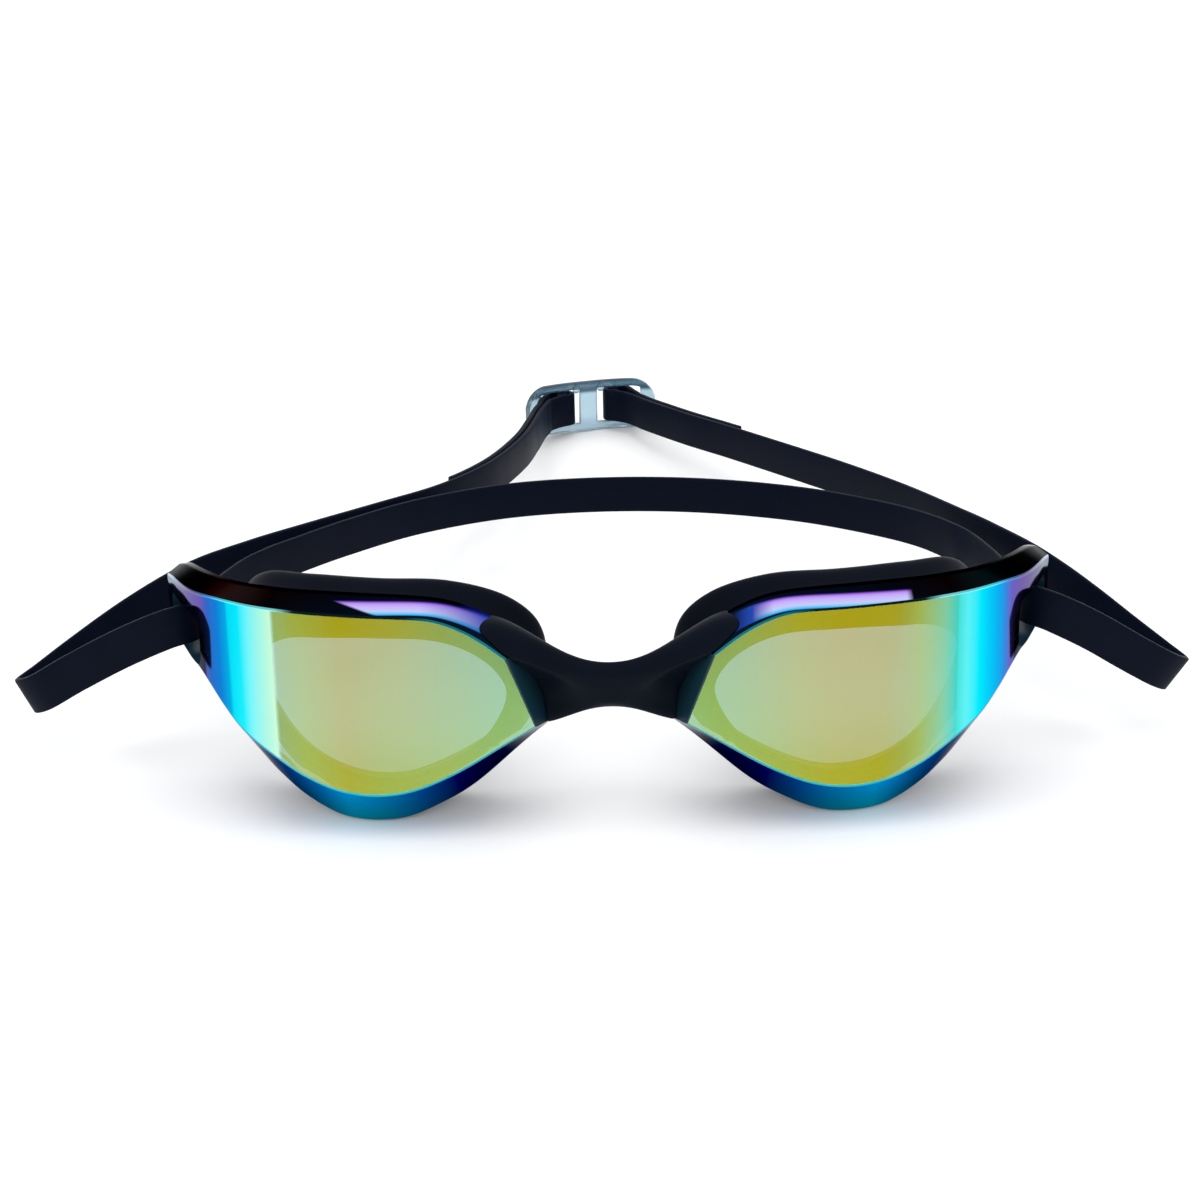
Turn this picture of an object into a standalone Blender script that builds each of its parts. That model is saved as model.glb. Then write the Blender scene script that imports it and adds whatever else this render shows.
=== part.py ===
"""Swim goggles: two mirrored wrap lenses, silicone eye seals, a soft nose bridge, and one long
silicone strap that makes a slack loop at each temple and ends in a clear slide clip.

The parts are drawn level on the wearer's head, in millimetres: +X to the wearer's left, +Y to
the back of the head, +Z up. One empty turns them into metres and sets the goggles down on a
table, where they stand on the two lens rims and the clip.
"""

import math

import bmesh
import bpy
from mathutils import Matrix, Vector

MM = 0.001

# How the goggles stand: the strap runs level on the head, and the clip is higher than the rims.
REST_PITCH_DEG = 9.04
REST_SIDE = 1.4
REST_BACK = -80.6
REST_UP = 31.06

# The lens is a flat pattern bent round an upright line: this is the line, seen from above, from
# the nose to the temple. "Along" below is the distance along it, which starts at ALONG_START.
BEND_LINE = [(8, 1.9), (20, 0.6), (28, 0.6), (36, 0.6), (47, 1.7), (56, 3.9), (62, 7.3),
             (66, 11.6), (69.5, 17.6), (72.3, 24.5), (74.3, 31.2), (75.8, 38)]
ALONG_START = 8.0

# The lens pattern, as (along, height) for the edges of its front face and of its rim.
FACE_TOP = [(16.7, 0.1), (21.4, 3.8), (25.7, 6.1), (30, 7.3), (40, 7.9), (50, 8.4), (58, 8.8),
            (66, 8.8), (76, 7.5), (87, 6.3), (93, 5.3)]
FACE_FOOT = [(12.2, -11.8), (18, -15.0), (26, -19.6), (32.3, -22.2), (38.6, -23.1), (44.8, -22.3),
             (50.6, -19.9), (55.9, -16.6), (61.5, -12.6), (66, -8.8), (70.5, -6.0), (75, -4.9),
             (93, -4.5)]
RIM_TOP = [(13.2, 1.5), (16.5, 4.2), (23, 7.4), (29, 9.0), (40, 9.8), (56, 10.3), (66, 10.4),
           (74, 9.9), (83, 8.8), (90, 7.6), (94.5, 6.4)]
RIM_FOOT = [(8.8, -12.5), (12.4, -15.3), (20, -21.6), (26.5, -26.0), (32.9, -29.1), (39.4, -30.1),
            (45.8, -29.4), (50.2, -27.4), (55, -24.2), (61.5, -18.4), (66.5, -13.0), (72, -9.2),
            (80, -7.2), (94.5, -6.2)]
TOP_DEPTH = [(8, 5.0), (56, 5.0), (70, 3.6), (94.5, 2.6)]
FOOT_DEPTH = [(8, 5.4), (30, 6.2), (50, 6.2), (66, 4.2), (94.5, 2.6)]
FACE_LEAN = 4.5
RIM_LEAN = 4.4
LENS_STATIONS = 34
LENS_WALL = 1.5
RIM_LAND = 1.2
RIM_WALL = 1.5
FACE_WALL_INSET = 0.5

# The slot that the strap goes through, in the lens pattern.
SLOT_ALONG = (72.5, 89.5)
SLOT_HEIGHT = (-5.0, 3.5)
SLOT_CORNER = 2.1

# The seal, as matching points of four outlines (along, height) that run up from the nose.
EYE_OPENING = [(16.9, -6.5), (18.7, -2.4), (22.8, 0.9), (28.5, 2.9), (37, 3.5), (46, 3.5),
               (53, 3.0), (56.8, 0.4), (57.4, -3.8), (55.4, -8.6), (51.8, -13.2), (47.2, -17.4),
               (41.2, -20.2), (34.4, -20.6), (26.8, -17.9), (20.4, -13.6)]
SEAL_FRONT = [(15.7, -6.2), (17.7, -1.3), (22.4, 2.5), (28.8, 5.2), (37.5, 6.3), (47.5, 6.8),
              (56, 6.8), (60.6, 3.4), (61.2, -3.2), (59, -9.8), (54.2, -15.4), (49.0, -18.9),
              (42.2, -21.5), (34.0, -21.4), (25.8, -18.3), (18.9, -14.2)]
SEAL_WAIST = [(13.2, -6.0), (15.3, -0.6), (20.4, 3.9), (28, 6.6), (38, 7.6), (48.5, 7.9),
              (57, 7.6), (62, 4.0), (63, -3.5), (61, -10.6), (56.6, -17.6), (51, -22.8),
              (43.3, -26.4), (34.5, -26.4), (24.6, -21.6), (16.2, -15.8)]
SEAL_LIP = [(10.4, -6.0), (11.6, 1.0), (16.8, 5.8), (26.4, 8.7), (38, 9.3), (49.5, 9.7),
            (59, 9.0), (65.4, 4.8), (67.2, -3.5), (64.8, -12.0), (59.6, -19.6), (53, -25.0),
            (43.9, -28.0), (33.4, -27.8), (22.9, -23.2), (14.0, -16.4)]
SEAL_POINTS = 48
SEAL_TEMPLE_EXTRA = 3.0

# The nose bridge, as points of its right-hand end, from the tip of its wing down, and its waist.
BRIDGE_END = [(20.6, 2.6, 6.3), (25.2, 1.0, 3.9), (21.4, 0.8, 1.8), (16.2, 2.0, -1.0),
              (12.8, 4.8, -4.8), (12.0, 6.0, -9.0), (12.8, 6.2, -12.4)]
BRIDGE_TOP = -2.1
BRIDGE_FOOT = -9.6
BRIDGE_FRONT = 2.5
BRIDGE_BACK = 6.2
BRIDGE_END_BACK = 9.5
BRIDGE_STEPS = 5
BRIDGE_FLARE = 1.25
SEAT_GAP = 0.35

# The strap and its route. Each point is (x, y, z, lean): lean is how far the top edge tips
# outwards, in degrees. The route runs from the clip round the wearer's right temple (-X), across
# the back of the head and round the left temple back to the clip.
STRAP_WIDTH = 6.8
STRAP_THICK = 1.1
STRAP_CORNER = 0.28
STRAP_STEP = 3.0
PIECE_GAP = 0.3
LAYER_PITCH = STRAP_THICK + 0.4
RIGHT_OUTER = [(-13.1, 147.8, 0, 0), (-14.5, 138, 0, 0), (-16.8, 125, 0, 0), (-23.0, 106, 0, 0),
               (-32.0, 91, 0, 0), (-43.0, 79.6, 0, 0)]
RIGHT_SIDE_OUTER = [(-55.0, 67.6, 0, 0), (-64.5, 58.2, -0.2, 2), (-73.5, 49.0, -1.0, 7),
                    (-83, 41.0, -4.6, 15), (-91.5, 34.6, -9.2, 22), (-97.6, 30.9, -13.0, 26)]
RIGHT_LOOP = [(-100.2, 28.0, -14.3, 27), (-97.6, 25.2, -13.0, 26), (-91, 23.8, -9.0, 22),
              (-82, 22.8, -4.2, 16), (-74.5, 22.4, -1.0, 11), (-70.4, 24.6, -0.4, 8),
              (-68.2, 32.0, -0.3, 12)]
RIGHT_INNER = [(-65.6, 41.0, -0.2, 17), (-63.4, 47.0, -0.1, 18), (-60.6, 52.6, 0, 6)]
INNER_BAND = [(-55.6, 59.6, 0, 0), (-48.0, 69.0, 0, 0), (-35.4, 81.4, 0, 0), (-19.0, 90.4, 0, 0),
              (-1.0, 93.4, 0, 0), (18.0, 91.4, 0, 0), (36.5, 84.2, 0, 0), (49.6, 74.8, 0, 0),
              (56.8, 67.6, 0, 0)]
LEFT_INNER = [(61.4, 60.4, 0, 6), (64.0, 54.2, -0.1, 18), (66.4, 45.0, -0.2, 17)]
LEFT_LOOP = [(68.6, 34.0, -0.3, 12), (70.6, 25.2, -0.4, 9), (74.5, 22.6, -1.2, 13),
             (81.5, 22.8, -4.8, 20), (89, 23.8, -9.6, 28), (94.4, 25.2, -13.0, 34),
             (97.0, 28.0, -14.6, 36)]
LEFT_SIDE_OUTER = [(94.6, 31.2, -13.2, 33), (89, 35.4, -9.4, 26), (82.5, 41.0, -5.0, 17),
                   (76.2, 48.8, -1.8, 9), (69.5, 60.0, -0.4, 2), (63.8, 70.2, 0, 0)]
LEFT_OUTER = [(56.4, 84.4, 0, 0), (46.4, 100.4, 0, 0), (34.6, 117.0, 0, 0), (24.8, 130.4, 0, 0),
              (17.8, 139.4, 0, 0), (12.2, 147.4, 0, 0)]
RIGHT_TAIL_LENGTH = 66.0
LEFT_TAIL_LENGTH = 40.0
TAIL_CLEARS_CLIP = {-1: 6.6, 1: 4.8}

# The clip: an arched plate with two windows a side, set behind the strap's ends.
CLIP_CENTRE = (-3.6, 162.0)
CLIP_YAW_DEG = 17.0
CLIP_HALF = 14.4
CLIP_HEIGHT = 10.6
CLIP_THICK = 1.6
CLIP_ARCH_RADIUS = 28.0
CLIP_END_ROUND = 5.0
WINDOW_HALF_HEIGHT = 3.95
PAD_HALF = 1.9
MID_BAR = (5.0, 6.6)
END_BAR = (11.4, CLIP_HALF)
# The strap's way through the clip, as (outwards, back) from the clip's centre: the lead in front
# of the middle bar, the turn round that bar, and the return between the lead and the end bar.
# The strap on the wearer's right hugs the clip for longer than the one on the left.
CLIP_LEAD = {-1: [(11.3, -7.4), (10.2, -5.4), (8.4, -4.0), (6.7, -3.1)],
             1: [(8.9, -12.0), (8.1, -8.4), (7.1, -5.3), (5.9, -3.4)]}
CLIP_TURN = [(5.0, -2.5), (4.2, -1.9), (3.85, -0.6), (4.3, 0.8), (5.6, 1.6), (7.0, 1.1),
             (7.75, -0.2)]
CLIP_RETURN = {-1: [(8.9, -1.9), (10.7, -3.2), (12.1, -4.9)],
               1: [(7.95, -1.9), (8.3, -3.5), (8.9, -5.4)]}


def smooth_height(points, at):
    """Height of a smooth line through (along, height) points."""
    if at <= points[0][0]:
        return points[0][1]
    for k in range(len(points) - 1):
        a, b = points[k], points[k + 1]
        if at > b[0]:
            continue
        before = points[max(k - 1, 0)]
        after = points[min(k + 2, len(points) - 1)]
        span = b[0] - a[0]
        slope_a = (b[1] - before[1]) / (b[0] - before[0])
        slope_b = (after[1] - a[1]) / (after[0] - a[0])
        t = (at - a[0]) / span
        return ((2 * t**3 - 3 * t**2 + 1) * a[1] + (t**3 - 2 * t**2 + t) * span * slope_a
                + (3 * t**2 - 2 * t**3) * b[1] + (t**3 - t**2) * span * slope_b)
    return points[-1][1]


def spline_point(before, a, b, after, t):
    """Point of a centripetal Catmull-Rom span between a and b."""
    knots = [0.0]
    for first, second in ((before, a), (a, b), (b, after)):
        knots.append(knots[-1] + max((second - first).length, 1e-6) ** 0.5)
    now = knots[1] + t * (knots[2] - knots[1])

    def mix(p, q, k0, k1):
        return p * ((k1 - now) / (k1 - k0)) + q * ((now - k0) / (k1 - k0))

    low = mix(before, a, knots[0], knots[1])
    middle = mix(a, b, knots[1], knots[2])
    high = mix(b, after, knots[2], knots[3])
    return mix(mix(low, middle, knots[0], knots[2]), mix(middle, high, knots[1], knots[3]),
               knots[1], knots[2])


def smooth_path(points, step):
    """Points about a step apart on a smooth curve, each with its place in the list."""
    points = [Vector(p) for p in points]
    ends = [points[0] * 2 - points[1], *points, points[-1] * 2 - points[-2]]
    path = []
    for k in range(len(points) - 1):
        count = max(2, round((points[k + 1] - points[k]).length / step))
        for i in range(count):
            path.append((k + i / count, spline_point(*ends[k:k + 4], i / count)))
    path.append((len(points) - 1.0, points[-1]))
    return path


def closed_curve(points, count):
    """Points of a smooth closed curve through the given ones."""
    points = [Vector(p) for p in points]
    total = len(points)
    curve = []
    for i in range(count):
        place = i * total / count
        k = int(place)
        around = [points[(k + j - 1) % total] for j in range(4)]
        curve.append(spline_point(*around, place - k))
    return curve


class BentPattern:
    """Bends a flat pattern round the lens's upright bend line."""

    def __init__(self):
        self.line = [point for _, point in smooth_path(BEND_LINE, 1.0)]
        self.along = [ALONG_START]
        for a, b in zip(self.line, self.line[1:]):
            self.along.append(self.along[-1] + (b - a).length)

    def place(self, along):
        """Point of the bend line and the direction into the lens there."""
        k = 0
        while k < len(self.line) - 2 and self.along[k + 1] < along:
            k += 1
        a, b = self.line[k], self.line[k + 1]
        t = (along - self.along[k]) / (self.along[k + 1] - self.along[k])
        ahead = self.line[min(k + 2, len(self.line) - 1)] - a
        behind = b - self.line[max(k - 1, 0)]
        run = behind.lerp(ahead, min(max(t, 0.0), 1.0)).normalized()
        return a.lerp(b, t), Vector((-run.y, run.x))

    def point(self, along, height, depth=0.0, straight_back=0.0):
        """Point of the bent pattern, depth behind its face; straight_back turns depth to +Y."""
        spot, inwards = self.place(along)
        inwards = inwards.lerp(Vector((0.0, 1.0)), straight_back).normalized()
        spot = spot + inwards * depth
        return Vector((spot.x, spot.y, height))


PATTERN = BentPattern()


def mesh_object(name, bm, material, rig, side=1):
    """Object of a bmesh in millimetres, mirrored to the other side of the face if side is -1."""
    if side < 0:
        bmesh.ops.scale(bm, vec=(-1, 1, 1), verts=bm.verts)
    bmesh.ops.scale(bm, vec=(MM, MM, MM), verts=bm.verts)
    bmesh.ops.recalc_face_normals(bm, faces=bm.faces)
    mesh = bpy.data.meshes.new(name)
    bm.to_mesh(mesh)
    bm.free()
    mesh.shade_smooth()
    mesh.set_sharp_from_angle(angle=math.radians(35))
    obj = bpy.data.objects.new(name, mesh)
    bpy.context.scene.collection.objects.link(obj)
    obj.parent = rig
    if material:
        mesh.materials.append(material)
    return obj


def make_material(name, colour, roughness, metallic=0.0, alpha=1.0):
    """Plain surface finish."""
    material = bpy.data.materials.new(name)
    material.use_nodes = True
    shader = material.node_tree.nodes["Principled BSDF"]
    shader.inputs["Base Color"].default_value = (*colour, 1.0)
    shader.inputs["Roughness"].default_value = roughness
    shader.inputs["Metallic"].default_value = metallic
    shader.inputs["Alpha"].default_value = alpha
    return material


def join_rings(bm, rings, closed=False):
    """Skins a list of rings of vertices with quads."""
    pairs = list(zip(rings, rings[1:]))
    if closed:
        pairs.append((rings[-1], rings[0]))
    for a, b in pairs:
        for i in range(len(a)):
            j = (i + 1) % len(a)
            bm.faces.new((a[i], a[j], b[j], b[i]))


def fill_strips(bm, ring):
    """Closes a ring whose first half runs along its top and whose second half runs back below."""
    half = len(ring) // 2
    for i in range(half - 1):
        j = len(ring) - 1 - i
        bm.faces.new((ring[i], ring[i + 1], ring[j - 1], ring[j]))


def lens_ring(bm, top, foot, lean, inset, depth_of):
    """Ring round the lens pattern: along its top edge to the temple, and back along its foot.

    inset moves the ring inwards, and depth_of gives the depth for (along, is_top).
    """
    first = foot[0][0] + inset
    last = foot[-1][0] - inset
    tops, feet = [], []
    for i in range(LENS_STATIONS):
        t = i / (LENS_STATIONS - 1)
        foot_along = first + (last - first) * t
        top_along = foot_along + lean * (1 - t) ** 3
        top_height = smooth_height(top, top_along) - inset
        foot_height = smooth_height(foot, foot_along) + inset
        tops.append(PATTERN.point(top_along, top_height, depth_of(top_along, True)))
        feet.append(PATTERN.point(foot_along, foot_height, depth_of(foot_along, False)))
    return [bm.verts.new(p) for p in tops + feet[::-1]]


def rim_depth(along, is_top):
    """How far the rim's front edge lies behind the lens's face."""
    return smooth_height(TOP_DEPTH if is_top else FOOT_DEPTH, along)


def lens_body(swell=None):
    """The lens moulding, or with swell, the filled space that it takes up, that much larger."""
    bm = bmesh.new()
    grow = swell or 0.0
    outer = [
        lens_ring(bm, FACE_TOP, FACE_FOOT, FACE_LEAN, -grow, lambda s, up: -grow),
        lens_ring(bm, RIM_TOP, RIM_FOOT, RIM_LEAN, -grow, lambda s, up: rim_depth(s, up) - grow),
        lens_ring(bm, RIM_TOP, RIM_FOOT, RIM_LEAN, -grow,
                  lambda s, up: rim_depth(s, up) + (RIM_LAND if swell is None else 7.0)),
    ]
    fill_strips(bm, outer[0])
    if swell is not None:
        join_rings(bm, outer)
        fill_strips(bm, outer[-1])
        return bm
    inner = [
        lens_ring(bm, RIM_TOP, RIM_FOOT, RIM_LEAN, RIM_WALL,
                  lambda s, up: rim_depth(s, up) + RIM_LAND),
        lens_ring(bm, FACE_TOP, FACE_FOOT, FACE_LEAN, FACE_WALL_INSET, lambda s, up: LENS_WALL),
    ]
    join_rings(bm, outer + inner)
    fill_strips(bm, inner[-1])
    return bm


def slot_cutter():
    """Rounded upright slot through the temple end of the lens."""
    bm = bmesh.new()
    low, high = SLOT_HEIGHT
    near, far = SLOT_ALONG
    corners = [(near, low, 180), (far, low, 270), (far, high, 0), (near, high, 90)]
    outline = []
    for along, height, start in corners:
        inward_along = SLOT_CORNER if along == near else -SLOT_CORNER
        inward_height = SLOT_CORNER if height == low else -SLOT_CORNER
        for turn in range(4):
            angle = math.radians(start + 30 * turn)
            outline.append((along + inward_along + SLOT_CORNER * math.cos(angle),
                            height + inward_height + SLOT_CORNER * math.sin(angle)))
    rings = [[bm.verts.new(PATTERN.point(s, z, depth)) for s, z in outline]
             for depth in (-4.0, 8.0)]
    join_rings(bm, rings)
    for ring in rings:
        bm.faces.new(ring)
    return bm


def make_lens(name, side, material, rig):
    """One mirrored lens with its bevels, its temple arm and the strap slot."""
    lens = mesh_object(name, lens_body(), material, rig, side)
    cutter = mesh_object(name + "_slot_cutter", slot_cutter(), None, rig, side)
    cutter.hide_render = True
    cutter.display_type = "WIRE"
    cut = lens.modifiers.new("strap_slot", "BOOLEAN")
    cut.operation = "DIFFERENCE"
    cut.object = cutter
    return lens


def make_seal(name, side, material, rig):
    """One silicone eye seal: a flange behind the lens that flares into a soft face lip."""
    opening, front, waist, lip = (
        [(p.x, p.y) for p in closed_curve([(*q, 0) for q in outline], SEAL_POINTS)]
        for outline in (EYE_OPENING, SEAL_FRONT, SEAL_WAIST, SEAL_LIP))

    def between(a, b, share):
        return [(p[0] + (q[0] - p[0]) * share, p[1] + (q[1] - p[1]) * share)
                for p, q in zip(a, b)]

    face = LENS_WALL + SEAT_GAP
    profile = [(opening, face), (front, face), (waist, 7.6), (between(waist, lip, 0.45), 10.6),
               (lip, 13.6), (between(waist, lip, 1.08), 15.0), (between(waist, lip, 0.92), 16.0),
               (between(opening, lip, 0.72), 15.8), (between(opening, lip, 0.5), 13.6),
               (between(opening, waist, 0.4), 8.6), (between(opening, waist, 0.16), 4.4)]
    bm = bmesh.new()
    rings = []
    for outline, depth in profile:
        ring = []
        for along, height in outline:
            far = max(0.0, min(1.0, (along - 40) / 25))
            extra = SEAL_TEMPLE_EXTRA * far * far * max(0.0, depth - face) / 14.0
            ring.append(bm.verts.new(PATTERN.point(along, height, depth + extra, 0.8)))
        rings.append(ring)
    join_rings(bm, rings, closed=True)
    return mesh_object(name, bm, material, rig, side)


def bridge_cage():
    """Coarse cage of the nose bridge: rows run from its top edge down, columns across the nose."""
    bm = bmesh.new()
    rows = len(BRIDGE_END)
    front, back = [], []
    for r, (end_x, end_y, end_z) in enumerate(BRIDGE_END):
        share = r / (rows - 1)
        waist_z = BRIDGE_TOP + (BRIDGE_FOOT - BRIDGE_TOP) * share
        edge = 1.5 if r in (0, rows - 1) else 0.0
        front_row, back_row = [], []
        for c in range(-BRIDGE_STEPS, BRIDGE_STEPS + 1):
            w = abs(c) / BRIDGE_STEPS
            ease = (3 * w**2 - 2 * w**3) ** BRIDGE_FLARE
            x = math.copysign(end_x * w, c)
            z = waist_z + (end_z - waist_z) * ease
            y = BRIDGE_FRONT + edge * (1 - ease) + (end_y - BRIDGE_FRONT) * ease
            y_back = BRIDGE_BACK - edge * (1 - ease) + (BRIDGE_END_BACK - BRIDGE_BACK) * ease
            front_row.append(bm.verts.new((x, y, z)))
            back_row.append(bm.verts.new((x, y_back, z)))
        front.append(front_row)
        back.append(back_row)
    columns = len(front[0])
    for sheet in (front, back):
        for r in range(rows - 1):
            for c in range(columns - 1):
                bm.faces.new((sheet[r][c], sheet[r][c + 1], sheet[r + 1][c + 1], sheet[r + 1][c]))
    for c in range(columns - 1):
        for r in (0, rows - 1):
            bm.faces.new((front[r][c], front[r][c + 1], back[r][c + 1], back[r][c]))
    for r in range(rows - 1):
        for c in (0, columns - 1):
            bm.faces.new((front[r][c], front[r + 1][c], back[r + 1][c], back[r][c]))
    return bm


def make_bridge(material, rig):
    """Soft nose bridge, with a groove at each end that takes the nasal rim of a lens."""
    bridge = mesh_object("nose_bridge", bridge_cage(), material, rig)
    soften = bridge.modifiers.new("soften", "SUBSURF")
    soften.levels = 2
    soften.render_levels = 2
    for side in (1, -1):
        seat = mesh_object(f"bridge_seat_cutter_{side}", lens_body(SEAT_GAP), None, rig, side)
        seat.hide_render = True
        seat.display_type = "WIRE"
        groove = bridge.modifiers.new("rim_groove", "BOOLEAN")
        groove.operation = "DIFFERENCE"
        groove.object = seat
    return bridge


def clip_point(outwards, back, side):
    """Route point in the clip's own plane: side is 1 for its left-hand half."""
    yaw = math.radians(CLIP_YAW_DEG)
    u = outwards * side
    return (CLIP_CENTRE[0] + u * math.cos(yaw) - back * math.sin(yaw),
            CLIP_CENTRE[1] + u * math.sin(yaw) + back * math.cos(yaw), 0.0, 0.0)


def strap_route():
    """The strap's whole centreline without its tails, and the place where each stretch starts."""
    stretches = [
        ("right_turn", [clip_point(u, v, -1) for u, v in (CLIP_TURN + CLIP_RETURN[-1])[::-1]]),
        ("right_lead", [clip_point(u, v, -1) for u, v in CLIP_LEAD[-1][::-1]]),
        ("right_outer", RIGHT_OUTER),
        ("right_side", RIGHT_SIDE_OUTER),
        ("right_loop", RIGHT_LOOP),
        ("right_inner", RIGHT_INNER),
        ("band", INNER_BAND),
        ("left_inner", LEFT_INNER),
        ("left_loop", LEFT_LOOP),
        ("left_side", LEFT_SIDE_OUTER),
        ("left_outer", LEFT_OUTER),
        ("left_lead", [clip_point(u, v, 1) for u, v in CLIP_LEAD[1]]),
        ("left_turn", [clip_point(u, v, 1) for u, v in CLIP_TURN + CLIP_RETURN[1]]),
    ]
    points, starts = [], {}
    for name, stretch in stretches:
        starts[name] = len(points)
        points += stretch
    starts["end"] = len(points) - 1
    return points, starts


def strap_frames(points):
    """(place, centre, width direction, thickness direction) along the strap."""
    path = smooth_path([(x, y, z) for x, y, z, _ in points], STRAP_STEP)
    frames = []
    for i, (place, centre) in enumerate(path):
        run = path[min(i + 1, len(path) - 1)][1] - path[max(i - 1, 0)][1]
        run.normalize()
        k = min(int(place), len(points) - 2)
        lean = points[k][3] + (points[k + 1][3] - points[k][3]) * (place - k)
        tip = math.radians(lean) * (1 if centre.x > 0 else -1)
        across = Vector((math.sin(tip), 0, math.cos(tip)))
        across = (across - run * across.dot(run)).normalized()
        frames.append((place, centre, across, run.cross(across)))
    return frames


def with_tail(frames, turn_start, clears, length, at_end):
    """Adds the tail, which leaves the turn round the bar and doubles back behind the strap."""
    ordered = frames if at_end else frames[::-1]
    run = [f for f in ordered if (f[0] <= turn_start if at_end else f[0] >= turn_start)]
    tail, covered = [], 0.0
    for i in range(len(run) - 1, 0, -1):
        place, centre, across, through = run[i]
        if covered > clears:
            tail.append((place, centre + through * LAYER_PITCH, across, -through))
        covered += (run[i - 1][1] - centre).length
        if covered > length:
            break
    joined = ordered + tail
    return joined if at_end else joined[::-1]


def ribbon(frames):
    """Solid flat strap with rounded edges along a list of frames."""
    half_w, half_t, c = STRAP_WIDTH / 2, STRAP_THICK / 2, STRAP_CORNER
    section = [(half_w, half_t - c), (half_w - c, half_t), (-half_w + c, half_t),
               (-half_w, half_t - c), (-half_w, -half_t + c), (-half_w + c, -half_t),
               (half_w - c, -half_t), (half_w, -half_t + c)]
    bm = bmesh.new()
    rings = [[bm.verts.new(centre + across * a + through * b) for a, b in section]
             for _, centre, across, through in frames]
    join_rings(bm, rings)
    bm.faces.new(rings[0])
    bm.faces.new(rings[-1])
    return bm


def cut_back(frames):
    """Shortens a run of frames by half a gap at each end."""
    frames = list(frames)
    for end, inner in ((0, 1), (-1, -2)):
        place, centre, across, through = frames[end]
        towards = (frames[inner][1] - centre).normalized()
        frames[end] = (place, centre + towards * (PIECE_GAP / 2), across, through)
    return frames


def make_strap(material, rig):
    """The silicone strap, as the stretches that move with different parts of the goggles."""
    points, starts = strap_route()
    frames = strap_frames(points)
    at = starts
    stretches = {
        "strap_outer_right": (0, at["right_side"] - 1),
        "strap_twist_outer_right": (at["right_side"] - 1, at["right_side"] + 2),
        "strap_loop_right": (at["right_side"] + 2, at["right_inner"] - 1),
        "strap_twist_inner_right": (at["right_inner"] - 1, at["band"] + 1),
        "strap_inner_band": (at["band"] + 1, at["left_inner"] - 2),
        "strap_twist_inner_left": (at["left_inner"] - 2, at["left_loop"]),
        "strap_loop_left": (at["left_loop"], at["left_outer"] - 3),
        "strap_twist_outer_left": (at["left_outer"] - 3, at["left_outer"]),
        "strap_outer_left": (at["left_outer"], at["end"]),
    }
    for name, (first, last) in stretches.items():
        part = cut_back([f for f in frames if first - 1e-6 <= f[0] <= last + 1e-6])
        if name == "strap_outer_right":
            part = with_tail(part, at["right_lead"], TAIL_CLEARS_CLIP[-1], RIGHT_TAIL_LENGTH, False)
        if name == "strap_outer_left":
            part = with_tail(part, at["left_turn"] - 1, TAIL_CLEARS_CLIP[1], LEFT_TAIL_LENGTH, True)
        mesh_object(name, ribbon(part), material, rig)


def make_clip(material, rig):
    """Clear slide clip: an arched plate with rails, bars and four windows for the strap."""
    half = [PAD_HALF, 3.4, *MID_BAR, 8.2, 9.8, END_BAR[0], 12.5, 13.4, 14.0, CLIP_HALF]
    columns = [-u for u in half[::-1]] + half
    bm = bmesh.new()
    grid = []
    for u in columns:
        round_off = max(0.0, (abs(u) - CLIP_HALF + CLIP_END_ROUND) / CLIP_END_ROUND)
        half_height = CLIP_HEIGHT / 2 * math.sqrt(1 - (0.96 * round_off) ** 2)
        window = min(WINDOW_HALF_HEIGHT, half_height * 0.72)
        back = -(abs(u) - PAD_HALF) ** 2 / (2 * CLIP_ARCH_RADIUS)
        grid.append([bm.verts.new((u, back, z)) for z in
                     (-half_height, -window, window, half_height)])
    for k in range(len(columns) - 1):
        middle = abs(columns[k] + columns[k + 1]) / 2
        solid = (middle < PAD_HALF or MID_BAR[0] < middle < MID_BAR[1]
                 or END_BAR[0] < middle)
        for row in (0, 1, 2):
            if row == 1 and not solid:
                continue
            bm.faces.new((grid[k][row], grid[k + 1][row],
                          grid[k + 1][row + 1], grid[k][row + 1]))
    clip = mesh_object("rear_clip", bm, material, rig)
    clip.location = (CLIP_CENTRE[0] * MM, CLIP_CENTRE[1] * MM, 0)
    clip.rotation_euler.z = math.radians(CLIP_YAW_DEG)
    plate = clip.modifiers.new("plate", "SOLIDIFY")
    plate.thickness = CLIP_THICK * MM
    plate.offset = 0
    edges = clip.modifiers.new("edges", "BEVEL")
    edges.width = 0.45 * MM
    edges.segments = 2
    edges.limit_method = "ANGLE"
    edges.angle_limit = math.radians(50)
    return clip


def main():
    """Clears the scene and builds the goggles."""
    for obj in list(bpy.data.objects):
        bpy.data.objects.remove(obj)
    rig = bpy.data.objects.new("goggles", None)
    bpy.context.scene.collection.objects.link(rig)
    rig.location = (REST_SIDE * MM, REST_BACK * MM, REST_UP * MM)
    rig.rotation_euler.x = math.radians(-REST_PITCH_DEG)
    mirror = make_material("mirror_lens", (0.62, 0.66, 0.22), 0.06, 0.9, 0.85)
    silicone = make_material("black_silicone", (0.012, 0.015, 0.026), 0.48)
    strap = make_material("strap_silicone", (0.014, 0.017, 0.03), 0.5)
    clear = make_material("clear_clip", (0.62, 0.72, 0.8), 0.08, 0.0, 0.5)
    for name, side in (("left", 1), ("right", -1)):
        make_lens("lens_" + name, side, mirror, rig)
        make_seal("seal_" + name, side, silicone, rig)
    make_bridge(silicone, rig)
    make_strap(strap, rig)
    make_clip(clear, rig)


main()
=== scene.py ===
"""Looks of a pair of racing swim goggles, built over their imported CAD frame.

Every shape is drawn in millimetres on the wearer's head (+X to the wearer's left, +Y to the back
of the head, +Z up) and is then set down on the table, as the CAD model is.
"""

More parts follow.
